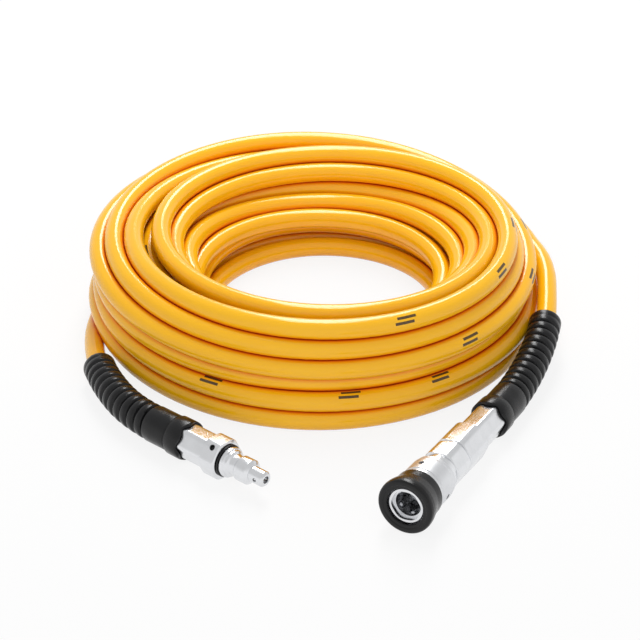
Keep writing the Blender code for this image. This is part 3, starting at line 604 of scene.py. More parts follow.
def handling_group():
    """Handling marks: cloudy dulling and fine scratches, as a mask from 0 to 1."""
    tree, n, given, result = new_group(
        "Handling marks",
        [("Vector", "Vector", None), ("Cloud Scale", "Float", 60.0), ("Scratch Scale", "Float", 900.0)],
        [("Cloud", "Float"), ("Scratch", "Float")],
    )
    cloud = n.noise(given["Vector"], given["Cloud Scale"], 4.0, 0.6)
    lean, stretch = (0.6, 0.3, 0.9), (1.0, 0.06, 1.0)
    stretched = n.add("Mapping", {"Vector": given["Vector"], "Rotation": lean, "Scale": stretch})
    scratch = n.noise(stretched, given["Scratch Scale"])
    n.tree.links.new(n.ramp(cloud, 0.35, 0.72), result["Cloud"])
    n.tree.links.new(n.ramp(scratch, 0.64, 0.74), result["Scratch"])
    return tree


def grain_group():
    """Fine grain for a bump: small even bumps with a little of a wider swell."""
    tree, n, given, result = new_group(
        "Fine grain",
        [
            ("Vector", "Vector", None),
            ("Grain Scale", "Float", 2500.0),
            ("Swell Scale", "Float", 220.0),
            ("Swell", "Float", 0.4),
        ],
        [("Height", "Float")],
    )
    grain = n.noise(given["Vector"], given["Grain Scale"], 1.0)
    swell = n.noise(given["Vector"], given["Swell Scale"])
    n.tree.links.new(n.math("MULTIPLY_ADD", swell, given["Swell"], grain), result["Height"])
    return tree


def turning_group():
    """The lathe's marks: fine rings that follow a piece's run along its axis."""
    tree, n, given, result = new_group(
        "Lathe marks",
        [("Run", "Float", 0.0), ("Pitch Scale", "Float", 9000.0)],
        [("Height", "Float")],
    )
    n.tree.links.new(n.line_noise(given["Run"], given["Pitch Scale"], 3.0), result["Height"])
    return tree


def new_material(name):
    made = bpy.data.materials.new(name)
    made.use_nodes = True
    made.node_tree.nodes.clear()
    return made, Nodes(made.node_tree)


def close_material(n, inputs):
    shader = n.add("BsdfPrincipled", inputs)
    n.add("OutputMaterial", {"Surface": shader}, out=None)


def hose_material(settings, groups):
    """Glossy extruded skin: a slow drift of tone, a painted shade and red glow between the turns, and the printed
    bars.
    """
    made, n = new_material("Hose skin")
    place = n.add("TexCoord", out="Object")
    run, across = n.add("SeparateXYZ", {"Vector": n.add("UVMap", uv_map="Run")}, out=None).outputs[:2]
    marks = n.handling(groups, place, 24.0, 500.0)
    skin = n.mix(n.math("MULTIPLY", marks["Cloud"], 0.6), (*settings.tint, 1), (*settings.deep, 1))
    # Painted shade and glow: where other turns come near, the colour goes darker and redder, standing in for the
    # shade and the red light through the plastic between the turns.
    crevice_shade = n.add("Attribute", out="Fac", attribute_name="CreviceShade")
    skin = n.mix(n.ramp(crevice_shade, 0.15, 0.8), skin, (*settings.painted_shade, 1))
    skin = n.mix(n.ramp(crevice_shade, 0.6, 1.0), skin, (*settings.glow, 1))
    ink = n.math("MULTIPLY", printed_bars(n, run, across), 0.94)
    base = n.mix(ink, skin, (*settings.mark, 1))
    drawn = n.line_noise(n.math("MULTIPLY", across, 60.0), 1.0)
    bump = n.bump(n.math("ADD", n.grain(groups, place, 1800.0, 90.0, 1.2), drawn), 0.02, 0.0002)
    rough = n.math("MULTIPLY_ADD", marks["Cloud"], 0.06, settings.gloss - 0.03)
    close_material(n, {"Base Color": base, "Roughness": rough, "Normal": bump, "IOR": 1.48})
    return made


BAR_PLACES = (0.0, 0.042, 0.103)  # of each group of bars, from the start of the pattern
BAR_PATTERN = 1.1139  # metres between one pattern and the next
BAR_START = 0.0495
BAR_LENGTH = 0.0086
BAR_WIDTH = 0.046  # share of the way round the hose
BAR_SPACING = 0.9  # of a bar's width, from the middle of the print to the middle of either bar
BAR_LEAN = -0.0012  # how far the second bar of a pair is shifted along the hose
PRINT_STARTS = 1.0  # metres from the plug's end
PRINT_PLACE = 0.20  # of the line of print round the hose where it starts
PRINT_TWIST = 0.0095  # how much of a turn it winds round the hose in each metre


def printed_bars(n, u, v):
    """Pairs of slanting bars along the hose: 1 inside a bar and 0 outside, from its run u and share round v.

    The line of print winds slowly round the hose: its middle is at v = PRINT_PLACE - PRINT_TWIST u.
    """
    where = n.math("FLOORED_MODULO", n.math("SUBTRACT", u, BAR_START), BAR_PATTERN)
    middle = n.math("MULTIPLY_ADD", u, PRINT_TWIST, n.math("SUBTRACT", v, PRINT_PLACE))
    total = None
    for place in BAR_PLACES:
        for side in (-1, 1):
            away = n.math("ABSOLUTE", n.math("SUBTRACT", where, place + side * BAR_LEAN / 2 + BAR_LENGTH))
            beside = n.math("ABSOLUTE", n.math("SUBTRACT", middle, side * BAR_WIDTH * BAR_SPACING))
            lengthwise = n.math("LESS_THAN", away, BAR_LENGTH / 2)
            bar = n.math("MULTIPLY", lengthwise, n.math("LESS_THAN", beside, BAR_WIDTH / 2))
            total = bar if total is None else n.math("MAXIMUM", total, bar)
    return n.math("MULTIPLY", total, n.math("GREATER_THAN", u, PRINT_STARTS))


def rubber_material(settings, groups):
    """Moulded black rubber: fine grain, a little bloom, and duller where it is handled."""
    made, n = new_material("Black rubber")
    place = n.add("TexCoord", out="Object")
    marks = n.handling(groups, place, 90.0, 1400.0)
    tint = np.array(settings.tint)
    bloomed = tint * 1.5 + 0.002
    base = n.mix(n.math("MULTIPLY", marks["Cloud"], 0.5), (*tint, 1), (*bloomed, 1))
    bump = n.bump(n.grain(groups, place, 3200.0, 260.0, 0.8), 0.25, 0.0002)
    rough = n.math("MULTIPLY_ADD", marks["Cloud"], 0.14, settings.roughness - 0.05)
    close_material(n, {"Base Color": base, "Roughness": rough, "Normal": bump, "IOR": 1.38})
    return made


def plate_material(name, plating, roughness, groups, lathe=0.12, grain_strength=0.0):
    """Nickel plate over turned brass or steel: lathe marks along the piece, clouding and fine scratches."""
    made, n = new_material(name)
    place = n.add("TexCoord", out="Object")
    run = n.add("SeparateXYZ", {"Vector": n.add("UVMap", uv_map="Run")})
    marks = n.handling(groups, place, 140.0, 2600.0)
    clouded = np.array(plating) * 0.93
    base = n.mix(marks["Cloud"], (*plating, 1), (*clouded, 1))
    marks_of_lathe = n.group(groups["turning"], {"Run": run, "Pitch Scale": 7000.0})["Height"]
    height = n.math("MULTIPLY_ADD", n.grain(groups, place, 5000.0, 500.0, 0.3), grain_strength, marks_of_lathe)
    bump = n.bump(height, lathe)
    rough = n.math("MULTIPLY_ADD", marks["Cloud"], 0.08, roughness - 0.03)
    rough = n.math("MULTIPLY_ADD", marks["Scratch"], 0.12, rough)
    close_material(n, {"Base Color": base, "Roughness": rough, "Metallic": 1.0, "Normal": bump})
    return made


def steel_material(groups):
    """Drawn spring steel and hardened balls: darker, with fine grain."""
    made, n = new_material("Spring steel")
    place = n.add("TexCoord", out="Object")
    marks = n.handling(groups, place, 400.0, 3000.0)
    base = n.mix(marks["Cloud"], (0.6, 0.61, 0.63, 1), (0.46, 0.47, 0.5, 1))
    rough = n.ramp(marks["Cloud"], 0, 1, 0.18, 0.3)
    bump = n.bump(n.grain(groups, place, 6000.0, 220.0, 0.4), 0.08)
    close_material(n, {"Base Color": base, "Roughness": rough, "Metallic": 1.0, "Normal": bump})
    return made


FINISHES = {}


def finishes():
    """Every finish of the hose, made once from the settings."""
    if not FINISHES:
        settings = bpy.context.scene.air_hose
        groups = {"handling": handling_group(), "grain": grain_group(), "turning": turning_group()}
        fitting = settings.fitting
        FINISHES.update(
            hose=hose_material(settings.hose, groups),
            rubber=rubber_material(settings.guard, groups),
            plate=plate_material("Nickel plate", tuple(fitting.plating), fitting.roughness, groups),
            satin=plate_material("Satin plate", tuple(fitting.satin), fitting.satin_roughness, groups, 0.2, 0.5),
            steel=steel_material(groups),
            inner=plate_material("Inner plate", (0.74, 0.74, 0.76), 0.24, groups, 0.0, 0.6),
        )
    return FINISHES


# ---------------------------------------------------------------- the hose
class AIRHOSE_OT_hose(bpy.types.Operator):
    """Wind the hose, from its end in the plug's nut to its end in the socket's nut"""

    bl_idname = "air_hose.hose"
    bl_label = "Hose"

    def execute(self, context):
        """The tube: p = path point + r (cos a side + sin a upper), with a short bore at both ends."""
        settings = context.scene.air_hose.hose
        path = hose_path(settings.diameter)
        far = distances(path)
        total, outer, bore, deep = far[-1], settings.diameter / 2, settings.bore / 2, 0.022
        ends = [(deep, 0.0), (deep, bore), (0.0, bore), (0.0, outer - 0.0003), (0.0003, outer)]
        inside = far[(far > 0.001) & (far < total - 0.001)]
        place = np.concatenate([[d for d, _ in ends], inside, [total - d for d, _ in ends[::-1]]])
        radius = np.concatenate([[r for _, r in ends], np.full(len(inside), outer), [r for _, r in ends[::-1]]])
        centre = along(path, place)
        _, *sides = frames_at(path, place)
        side, upper = (vectors / np.linalg.norm(vectors, axis=1, keepdims=True) for vectors in sides)
        angle = np.arange(settings.sides) * 2 * math.pi / settings.sides
        skin = centre[:, None] + radius[:, None, None] * rings(angle, side, upper)
        mesh = grid_mesh("hose", skin, False, place)
        # The mask of where the hose's painted shade and glow go.
        crevice_shade = mesh.attributes.new("CreviceShade", "FLOAT", "POINT")
        crevice_shade.data.foreach_set("value", between_turns(skin, centre, settings.diameter).astype(np.float32).ravel())
        finish_mesh(mesh, 60)
        nodes = ("hose_coil", "hose_tail_plug", "hose_tail_socket")
        hose = add_piece("hose", mesh, finishes()["hose"], "hose_and_fittings", "hose_yellow", *nodes)
        return {"FINISHED"}


# ---------------------------------------------------------------- bend guards
RIB_STEPS = 12  # rings in each rib
POCKET_ROWS = 4  # at the end of the guard's outline, which follow the nut's hexagon
POCKET_GAP, POCKET_TOP = 0.35, 8.1  # between nut and pocket, and the pocket's largest radius
MOUTH_DIP, MOUTH_REACH = 0.45, 5.0  # how deep the mouth's edge dips, and how far back the dip is felt


def guard_outline(settings):
    """The guard's outline as (distance behind its mouth, radius): outside, then its bore and the nut's pocket.

    Each rib is a rounded ring with a narrow groove before it: with s the share of the way along it, its radius
    is crest - depth exp(-((s - 0.2) / 0.15)^4) - 0.18 (1 - sin(pi (s - 0.35) / 0.65)).
    """
    length_mm, collar = settings.length / MM, settings.collar / MM / 2
    barrel, barrel_end, lip, near, far = 8.2, 21.0, 3.2, 8.0, 7.3
    pitch = (length_mm - lip - barrel_end) / settings.ribs
    number = np.arange(settings.ribs)[:, None]
    s = np.linspace(0, 1, RIB_STEPS + 1)[None, :-1]
    along_ribs = barrel_end + (number + s) * pitch
    crest = near + (far - near) * number / max(1, settings.ribs - 1)
    groove = np.exp(-(((s - 0.2) / 0.15) ** 4))
    rounding = 0.18 * (1 - np.sin(np.pi * np.clip((s - 0.35) / 0.65, 0, 1)))
    ribs = crest - settings.rib_depth / MM * groove - rounding
    outside = [
        (0.0, collar - 0.9), (0.0, collar - 0.5), (0.15, collar - 0.15), (0.5, collar),
        (3.8, collar), (7.0, collar - 0.05), (7.3, collar - 0.2), (7.5, barrel - 0.25),
        (7.7, barrel - 0.4), (8.1, barrel - 0.35), (8.4, barrel - 0.05), (8.7, barrel),
        (12.0, barrel), (16.0, barrel), (20.4, barrel), (20.9, barrel - 0.15),
    ]
    tail = [
        (length_mm - lip + 0.1, far - 0.2), (length_mm - lip + 0.5, far),
        (length_mm - 0.6, far), (length_mm - 0.15, far - 0.2), (length_mm, far - 0.6),
    ]
    bore = 4.9
    inside = [
        (length_mm, bore + 0.4),
        (length_mm - 0.4, bore),
        *((d, bore) for d in np.arange(length_mm - 4, 6, -4.0)),
        (4.6, bore), (4.5, 7.5), (2.5, 7.5), (0.6, 7.5), (0.0, 7.7),
    ]
    ribs_rows = np.stack([along_ribs.ravel(), ribs.ravel()], axis=1)
    return np.concatenate([outside, ribs_rows, tail, inside])


def guard_mesh(name, axis, route, nut_extra, settings, nut_flats):
    """The guard's outline carried along the hose: p = path point + r (cos a side + sin a upper) + d ahead.

    Its pocket is a rounded hexagon over the nut. Its mouth's edge dips by d = 0.45 cos 6a between the nut's
    flats, less and less over the first 5 mm. The angle a is measured from the coupling's own x.
    """
    path = tail_path(axis, route, nut_extra)
    outline = guard_outline(settings)
    sides = 96
    angle = np.arange(sides) * 2 * math.pi / sides
    _, side, upper = frames(path)
    offset = math.atan2(axis[:3, 0] @ upper[0], axis[:3, 0] @ side[0])
    place = (HOSE_END + nut_extra) * MM + outline[:, 0] * MM
    centre = along(path, place)
    ahead, side, upper = frames_at(path, place)
    radius = np.repeat(outline[:, 1:], sides, axis=1)
    across = hexagon_radius(angle - offset + math.pi / 6, nut_flats)
    radius[-POCKET_ROWS:] = smooth_min(across + POCKET_GAP, np.full(sides, POCKET_TOP), 0.4)
    depth = np.clip(1 - outline[:, 0] / MOUTH_REACH, 0, 1)[:, None] * MOUTH_DIP
    dip = (depth * np.cos(6 * (angle - offset)))[..., None] * MM * ahead[:, None]
    grid = centre[:, None] + radius[..., None] * MM * rings(angle, side, upper) + dip
    mesh = grid_mesh(name, grid, True, outline[:, 0] * MM)
    finish_mesh(mesh, 50)
    return mesh


class AIRHOSE_OT_guards(bpy.types.Operator):
    """Mould the two ribbed bend guards round the hose behind its nuts"""

    bl_idname = "air_hose.guards"
    bl_label = "Bend guards"

    def execute(self, context):
        settings = context.scene.air_hose
        rubber = finishes()["rubber"]
        for end, *where in (
            ("plug", PLUG_AXIS, PLUG_ROUTE, 0.0),
            ("socket", SOCKET_AXIS, SOCKET_ROUTE, SOCKET_NUT_EXTRA),
        ):
            mesh = guard_mesh(f"{end}_guard", *where, settings.guard, settings.fitting.nut / MM)
            add_piece(f"{end}_guard", mesh, rubber, "hose_and_fittings", "black_rubber", f"{end}_bend_guard")
        return {"FINISHED"}


# ---------------------------------------------------------------- hose end fittings
CORNER_R, NUT_CORNER_R, CHAMFER = 9.2, 7.75, 0.7
HEX_BACK, PLUG_HEX_FRONT, REAR_HEX_FRONT = 13.3, 21.8, 30.2  # stations of the hexagons' ends
HEX_SIDES = 144  # round a piece with flats

# Drilled holes, as (radius, turn in degrees, start and end off the axis, station).
PIN_HOLE = (1.3, 189.7, 2.0, 14.0, 18.4)
CROSS_HOLE = (0.9, 63.7, -6.0, 6.0, 40.6)
BALL_R, BALL_OUT, BALL_STATION = 1.5, 6.45, 67.2  # the balls' radius, and their place off and along the axis
BALL_TURNS = tuple(30 + 60 * k for k in range(6))
BALL_SEATS = tuple((1.8, turn, 3.6, 9.6, BALL_STATION) for turn in BALL_TURNS)
SLEEVE_HOLES = tuple((1.2, 97.7 + 120 * k, 8.35, 12.35, 54.3) for k in range(3))


def hex_blank(front, inside):
    """The outline of a body's blank: its bore, then the hexagon's turned outside and the spigot behind it."""
    return [
        *inside,
        (CORNER_R - 2 * CHAMFER, front), (CORNER_R, front - CHAMFER),
        (CORNER_R, HEX_BACK + CHAMFER), (CORNER_R - 2 * CHAMFER, HEX_BACK), (5.6, HEX_BACK),
        (5.6, 2.0), (4.8, 2.0), (4.8, 12.4), (2.6, 12.4),
    ]


class AIRHOSE_OT_nuts(bpy.types.Operator):
    """Turn the cap nut that clamps each end of the hose"""

    bl_idname = "air_hose.nuts"
    bl_label = "Cap nuts"

    def execute(self, context):
        flats = context.scene.air_hose.fitting.nut / MM
        for end, axis, extra in (("plug", PLUG_AXIS, 0.0), ("socket", SOCKET_AXIS, SOCKET_NUT_EXTRA)):
            front = [(5.9, 13.0), (NUT_CORNER_R - CHAMFER, 13.0), (NUT_CORNER_R, 13.0 - CHAMFER)]
            back = [(NUT_CORNER_R, -2.6 - extra), (6.35, -4.0 - extra), (4.8, -4.0 - extra)]
            outline = [*front, *back, (4.8, 1.7), (5.9, 1.7)]
            mesh = turned(f"{end}_nut", outline, axis, flats, HEX_SIDES)
            add_piece(f"{end}_nut", mesh, finishes()["plate"], "hose_and_fittings", "nickel", f"{end}_cap_nut")
        return {"FINISHED"}


# ---------------------------------------------------------------- plug
class AIRHOSE_OT_plug(bpy.types.Operator):
    """Turn the plug: hexagonal body, swivel seal and the nose that turns in it"""

    bl_idname = "air_hose.plug"
    bl_label = "Plug"

    def execute(self, context):
        flats = context.scene.air_hose.fitting.hexagon / MM
        inside = [(2.6, 13.9), (4.6, 13.9), (4.6, PLUG_HEX_FRONT)]
        body = turned("plug_hexagon", hex_blank(PLUG_HEX_FRONT, inside), PLUG_AXIS, flats, HEX_SIDES)
        body = drilled(body, [hole_tool("pin_hole", PLUG_AXIS, *PIN_HOLE)])
        add_piece("plug_hexagon", body, finishes()["plate"], "hose_and_fittings", "nickel", "plug_body")
        section = [(5.2, 22.9), (7.3, 22.9), (7.3, 22.1), (5.2, 22.1)]
        seal = turned("plug_seal", section, PLUG_AXIS, round_off=0.25)
        add_piece("plug_seal", seal, finishes()["rubber"], "hose_and_fittings", "black_rubber", "plug_swivel_seal")
        nose = turned(
            "swivel_nose",
            [
                (1.6, 44.2), (2.6, 44.2), (3.5, 43.3), (3.5, 37.1), (3.9, 37.1), (5.55, 35.7),
                (5.55, 30.5), (4.65, 29.8), (4.65, 26.9), (5.9, 26.2), (5.9, 25.2),
                (6.75, 24.9), (6.75, 23.2), (4.9, 23.2), (4.9, 22.1), (4.3, 22.1), (4.3, 19.7),
                (3.2, 19.7), (3.2, 17.1), (4.3, 17.1), (4.3, 16.6), (2.6, 16.6), (2.6, 14.6),
                (4.3, 14.6), (4.3, 14.2), (1.6, 14.2),
            ],
            PLUG_AXIS,
            round_off=0.22,
        )
        nose = drilled(nose, [hole_tool("cross_hole", PLUG_AXIS, *CROSS_HOLE)])
        add_piece("swivel_nose", nose, finishes()["plate"], "plug", "nickel", "plug_nose")
        return {"FINISHED"}


# ---------------------------------------------------------------- socket
MOUTH_EDGE = 70.5  # station past which the socket's bore is its mouth


def notched(radius, angle, station):
    """The socket's mouth ring isn't quite round inside: r + 0.12 cos 6a at its inner edge."""
    inner = (radius < 6.8) & (radius > 6.3) & (station > MOUTH_EDGE)
    return radius + np.where(inner, 0.12 * np.cos(6 * angle), 0.0)


class AIRHOSE_OT_socket(bpy.types.Operator):
    """Turn the socket's two hexagonal bodies, with the bore and the balls' holes in the front one"""

    bl_idname = "air_hose.socket"
    bl_label = "Socket body"

    def execute(self, context):
        flats = context.scene.air_hose.fitting.hexagon / MM
        plate = finishes()["plate"]
        inside = [(2.6, 17.8), (4.4, 17.8), (4.4, 24.1), (6.7, 24.1), (6.7, REAR_HEX_FRONT)]
        rear = turned("socket_rear_hexagon", hex_blank(REAR_HEX_FRONT, inside), SOCKET_AXIS, flats, HEX_SIDES)
        add_piece("socket_rear_hexagon", rear, plate, "hose_and_fittings", "nickel", "socket_rear_body")
        outline = [
            (6.6, 73.1), (7.7, 73.1), (8.0, 72.8), (8.0, 62.9), (7.1, 62.9), (7.1, 51.4),
            (8.4, 51.4), (8.4, 42.4), (CORNER_R - 2 * CHAMFER, 42.4),
            (CORNER_R, 42.4 - CHAMFER), (CORNER_R, 30.6 + CHAMFER), (CORNER_R - CHAMFER, 30.6),
            (6.4, 30.6), (6.4, 24.4), (5.4, 24.4), (5.4, 52.0), (3.4, 52.0), (3.4, 53.6),
            (5.75, 53.6), (5.75, 70.9), (6.6, 70.9),
        ]
        body = turned("socket_hexagon", outline, SOCKET_AXIS, flats, HEX_SIDES, wave=notched)
        tools = [hole_tool(f"ball_seat_{k}", SOCKET_AXIS, *seat) for k, seat in enumerate(BALL_SEATS, 1)]
        add_piece("socket_hexagon", drilled(body, tools), plate, "hose_and_fittings", "nickel", "socket_body")
        return {"FINISHED"}


class AIRHOSE_OT_sleeve(bpy.types.Operator):
    """Turn the sliding sleeve and mould the bumper over its front"""

    bl_idname = "air_hose.sleeve"
    bl_label = "Sleeve and bumper"

    def execute(self, context):
        outline = [
            (9.3, 72.5), (9.95, 72.5), (9.95, 60.8), (10.35, 60.8), (10.35, 59.6),
            (9.95, 59.4), (9.95, 58.6), (10.35, 58.4), (10.35, 49.9), (9.85, 48.9),
            (9.85, 47.1), (9.45, 46.7), (8.7, 46.7), (8.7, 61.9), (8.3, 61.9), (8.3, 68.4),
            (9.3, 68.4),
        ]
        sleeve = turned("sleeve", outline, SOCKET_AXIS, sides=128, round_off=0.2)
        tools = [hole_tool(f"sleeve_hole_{k}", SOCKET_AXIS, *hole) for k, hole in enumerate(SLEEVE_HOLES, 1)]
        add_piece("sleeve", drilled(sleeve, tools), finishes()["satin"], "sleeve", "satin_nickel", "lock_sleeve")
        bumper = turned(
            "bumper",
            [
                (8.4, 74.1), (9.8, 74.1), (10.0, 74.5), (11.6, 74.5), (12.3, 73.9),
                (12.5, 72.5), (12.3, 70.5), (11.1, 65.6), (10.9, 61.5), (10.7, 61.1),
                (10.25, 61.1), (10.25, 72.8), (8.4, 72.8),
            ],
            SOCKET_AXIS,
            sides=128,
            round_off=0.35,
        )
        add_piece("bumper", bumper, finishes()["rubber"], "sleeve", "black_rubber", "socket_bumper")
        return {"FINISHED"}


class AIRHOSE_OT_valve(bpy.types.Operator):
    """Turn the self-closing valve's poppet and mould the packing that the plug seals on"""

    bl_idname = "air_hose.valve"
    bl_label = "Valve and packing"

    def execute(self, context):
        poppet = turned(
            "poppet",
            [
                (0.0, 53.3), (2.5, 53.3), (3.0, 52.8), (3.0, 49.5), (5.0, 49.5), (5.0, 47.1),
                (1.8, 47.1), (1.8, 38.1), (0.0, 38.1),
            ],
            SOCKET_AXIS,
            closed=False,
        )
        add_piece("poppet", poppet, finishes()["plate"], "valve", "nickel", "valve_poppet")
        section = [(5.45, 57.4), (5.45, 53.9), (3.8, 53.9), (3.8, 57.4)]
        packing = turned("packing", section, SOCKET_AXIS, round_off=0.3)
        add_piece("packing", packing, finishes()["rubber"], "hose_and_fittings", "black_rubber", "socket_packing")
        return {"FINISHED"}


class AIRHOSE_OT_balls(bpy.types.Operator):
    """Grind the six locking balls in the socket's mouth"""

    bl_idname = "air_hose.balls"
    bl_label = "Locking balls"

    def execute(self, context):
        """A ball: r (cos b cos a, cos b sin a, sin b) for a round it and b from pole to pole."""
        b = np.linspace(-math.pi / 2, math.pi / 2, 13)[:, None]
        a = np.arange(24)[None] * 2 * math.pi / 24
        ball = BALL_R * np.stack([np.cos(b) * np.cos(a), np.cos(b) * np.sin(a), np.sin(b) + 0 * a], axis=2)
        steel = finishes()["steel"]
        for k, turn in enumerate(np.radians(BALL_TURNS), 1):
            place = np.array([BALL_OUT * np.cos(turn), BALL_OUT * np.sin(turn), BALL_STATION])
            mesh = grid_mesh(f"ball_{k}", placed(ball + place, SOCKET_AXIS))
            finish_mesh(mesh, 60)
            add_piece(f"locking_ball_{k}", mesh, steel, f"ball_{k}", "spring_steel", f"lock_ball_{k}")
        return {"FINISHED"}


def spring_mesh(name, radius, wire, turns, back, front, axis):
    """A spring: a round wire carried along a helix, (R cos q, R sin q, rise q), with both ends closed."""
    turn = np.linspace(0, 2 * math.pi * turns, turns * 36 + 1)
    rise = np.linspace(back + wire, front - wire, len(turn))
    centre = np.stack([radius * np.cos(turn), radius * np.sin(turn), rise], axis=1)
    outward = np.stack([np.cos(turn), np.sin(turn), 0 * turn], axis=1)
    tangent = np.gradient(centre, axis=0)
    tangent /= np.linalg.norm(tangent, axis=1, keepdims=True)
    across = np.cross(tangent, outward)
    centre, outward, across = (np.concatenate([v[:1], v, v[-1:]]) for v in (centre, outward, across))
    size = np.concatenate([[0], np.full(len(turn), wire), [0]])
    angle = np.arange(12) * 2 * math.pi / 12
    mesh = grid_mesh(name, placed(centre[:, None] + size[:, None, None] * rings(angle, outward, across), axis))
    finish_mesh(mesh, 60)
    return mesh


class AIRHOSE_OT_springs(bpy.types.Operator):
    """Wind the sleeve's spring and the valve's spring"""

    bl_idname = "air_hose.springs"
    bl_label = "Springs"

    def execute(self, context):
        for name, node, joint, (radius, wire, turns), back, front, travel in (
            ("spring_of_sleeve", "sleeve_spring", "sleeve_slide", (7.95, 0.45, 5), 51.7, 61.6, 4.0),
            ("spring_of_valve", "valve_spring", "valve_slide", (3.6, 0.4, 5), 32.3, 46.8, 3.0),
        ):
            mesh = spring_mesh(name, radius, wire, turns, back, front, SOCKET_AXIS)
            spring = add_piece(name, mesh, finishes()["steel"], "hose_and_fittings", "spring_steel", node)
            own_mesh(spring)
        return {"FINISHED"}


class AIRHOSE_OT_inner(bpy.types.Operator):
    """Give the small parts inside the couplings, which keep their solids' shape, their finishes"""

    bl_idname = "air_hose.inner"
    bl_label = "Inner parts"

    def execute(self, context):
        for finish, names in (
            ("inner", ("plug_nipple", "socket_nipple", "valve_spring_seat", "packing_ring")),
            ("rubber", ("plug_retaining_pin", "plug_o_ring", "valve_seal")),
        ):
            for name in names:
                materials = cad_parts[name].data.materials
                materials.clear()
                materials.append(finishes()[finish])
        return {"FINISHED"}


# ---------------------------------------------------------------- stage
WHITE = (1, 1, 1, 1)
FLOOR_SHOWN = 0.86  # how much of the floor is plain white to the camera and in mirrors; the rest is lit
FLOOR_HALF, FLOOR_DROP = 6.0, 0.0002  # metres from its middle to a corner, and under the object
SOFTBOX_SIZE, SOFTBOX_PLACE = (0.28, 1.05), (0.04, 0.55, 0.86)
CAMERA_ASIDE = -0.0004


def floor_material(tint):
    """Pale floor: a lit white surface that the camera sees brightened, and that keeps the object's shadow."""
    made, n = new_material("Pale floor")
    place = n.add("TexCoord", out="Object")
    base = n.mix(n.noise(place, 3.0), (*tint, 1), (*(np.array(tint) * 0.99), 1))
    lit = n.add("BsdfDiffuse", {"Color": base})
    bright = n.add("Emission", {"Color": WHITE, "Strength": 1.0})
    path = n.add("LightPath", out=None).outputs
    seen = n.math("MAXIMUM", path["Is Camera Ray"], path["Is Glossy Ray"])
    seen = n.math("MAXIMUM", seen, path["Is Transmission Ray"])
    mixed = n.add("MixShader", {0: n.math("MULTIPLY", seen, FLOOR_SHOWN), 1: lit, 2: bright})
    n.add("OutputMaterial", {"Surface": mixed}, out=None)
    return made


def write_world(tree, settings):
    """Light from all round, stronger from in front. The camera sees it white. In mirrors it is white at the
    horizon, and settings.mirrored from overhead.
    """
    tree.nodes.clear()
    n = Nodes(tree)
    path = n.add("LightPath", out=None).outputs
    heading = n.add("SeparateXYZ", {"Vector": n.add("TexCoord", out="Generated")}, out=None).outputs
    seen = n.math("MAXIMUM", path["Is Camera Ray"], path["Is Transmission Ray"])
    strength = n.ramp(heading["Y"], -1.0, 0.0, settings.ambient + settings.fill, settings.ambient)
    strength = n.math("MULTIPLY_ADD", seen, n.math("SUBTRACT", 1.0, strength), strength)
    mirrored = n.math("SUBTRACT", n.ramp(heading["Z"], 0.1, 0.45, 1.0, settings.mirrored), strength)
    strength = n.math("MULTIPLY_ADD", path["Is Glossy Ray"], mirrored, strength)
    around = n.add("Background", {"Color": WHITE, "Strength": strength})
    n.add("OutputWorld", {"Surface": around}, out=None)


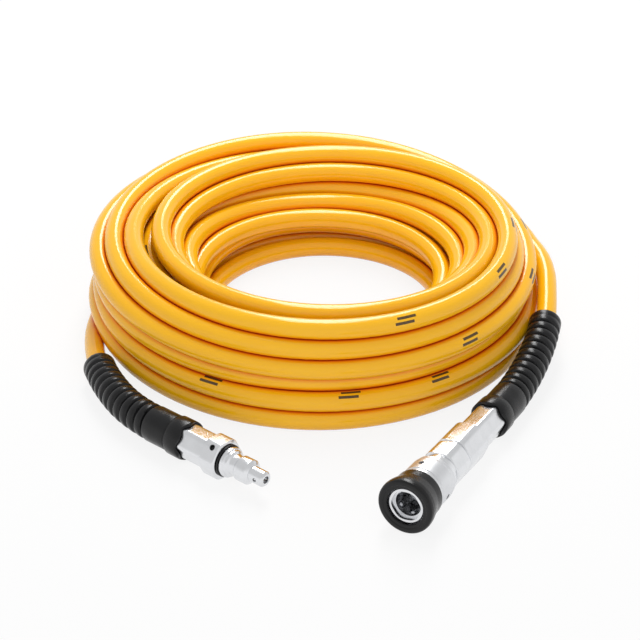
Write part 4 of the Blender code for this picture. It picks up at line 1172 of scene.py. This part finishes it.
class AIRHOSE_OT_stage(bpy.types.Operator):
    """Set the camera, the pale floor, the softbox and the light from all round"""

    bl_idname = "air_hose.stage"
    bl_label = "Stage"

    def execute(self, context):
        settings = context.scene.air_hose.stage
        scene = context.scene
        scene.view_settings.view_transform = "Standard"
        data = bpy.data.cameras.new("camera")
        data.lens, data.sensor_width, data.clip_end = settings.lens, 36.0, 20.0
        camera = bpy.data.objects.new("camera", data)
        camera.location = point(0, 0) + np.array([CAMERA_ASIDE, -settings.reach, settings.height])
        camera.rotation_euler = (math.pi / 2 - settings.pitch, 0, 0)
        scene.collection.objects.link(camera)
        scene.camera = camera
        turn = np.arange(4) * math.pi / 2 + math.pi / 4
        level = np.full(4, -FLOOR_DROP)
        corners = np.stack([FLOOR_HALF * np.cos(turn), FLOOR_HALF * np.sin(turn), level], axis=1)
        mesh = bpy.data.meshes.new("floor")
        mesh.from_pydata(corners.tolist(), [], [(0, 1, 2, 3)])
        mesh.materials.append(floor_material(tuple(settings.floor)))
        floor = bpy.data.objects.new("floor", mesh)
        scene.collection.objects.link(floor)
        # A bright strip behind and above draws the line of light along each turn.
        light = bpy.data.lights.new("softbox", "AREA")
        light.shape, light.energy = "RECTANGLE", settings.softbox
        light.size, light.size_y = SOFTBOX_SIZE
        box = bpy.data.objects.new("softbox", light)
        box.location = point(0, 0) + np.array(SOFTBOX_PLACE)
        box.rotation_euler = (-Vector(SOFTBOX_PLACE)).to_track_quat("-Z", "Y").to_euler()
        scene.collection.objects.link(box)
        world = bpy.data.worlds.new("studio")
        scene.world = world
        world.use_nodes = True
        write_world(world.node_tree, settings)
        return {"FINISHED"}


# ---------------------------------------------------------------- panel
STEPS_IN_ORDER = (
    "stage", "hose", "guards", "nuts", "plug", "socket", "sleeve", "valve", "balls", "springs", "inner",
)


class AIRHOSE_PT_panel(bpy.types.Panel):
    """The steps that build the air hose, with the sizes and colours that they use"""

    bl_idname = "AIRHOSE_PT_panel"
    bl_label = "Air hose"
    bl_space_type = "VIEW_3D"
    bl_region_type = "UI"
    bl_category = "Air hose"

    def draw(self, context):
        settings = context.scene.air_hose
        for step in STEPS_IN_ORDER:
            self.layout.operator(f"air_hose.{step}")
        for title in ("hose", "guard", "fitting", "stage"):
            group = getattr(settings, title)
            box = self.layout.box()
            box.label(text=title.capitalize())
            for name in group.__annotations__:
                box.prop(group, name)


CLASSES = (
    HoseSettings,
    GuardSettings,
    FittingSettings,
    StageSettings,
    AirHoseSettings,
    AIRHOSE_OT_stage,
    AIRHOSE_OT_hose,
    AIRHOSE_OT_guards,
    AIRHOSE_OT_nuts,
    AIRHOSE_OT_plug,
    AIRHOSE_OT_socket,
    AIRHOSE_OT_sleeve,
    AIRHOSE_OT_valve,
    AIRHOSE_OT_balls,
    AIRHOSE_OT_springs,
    AIRHOSE_OT_inner,
    AIRHOSE_PT_panel,
)


def register():
    for made in CLASSES:
        bpy.utils.register_class(made)
    bpy.types.Scene.air_hose = PointerProperty(type=AirHoseSettings)


def unregister():
    del bpy.types.Scene.air_hose
    for made in reversed(CLASSES):
        bpy.utils.unregister_class(made)


def main():
    register()
    for step in STEPS_IN_ORDER:
        getattr(bpy.ops.air_hose, step)()


if __name__ == "__main__":
    main()
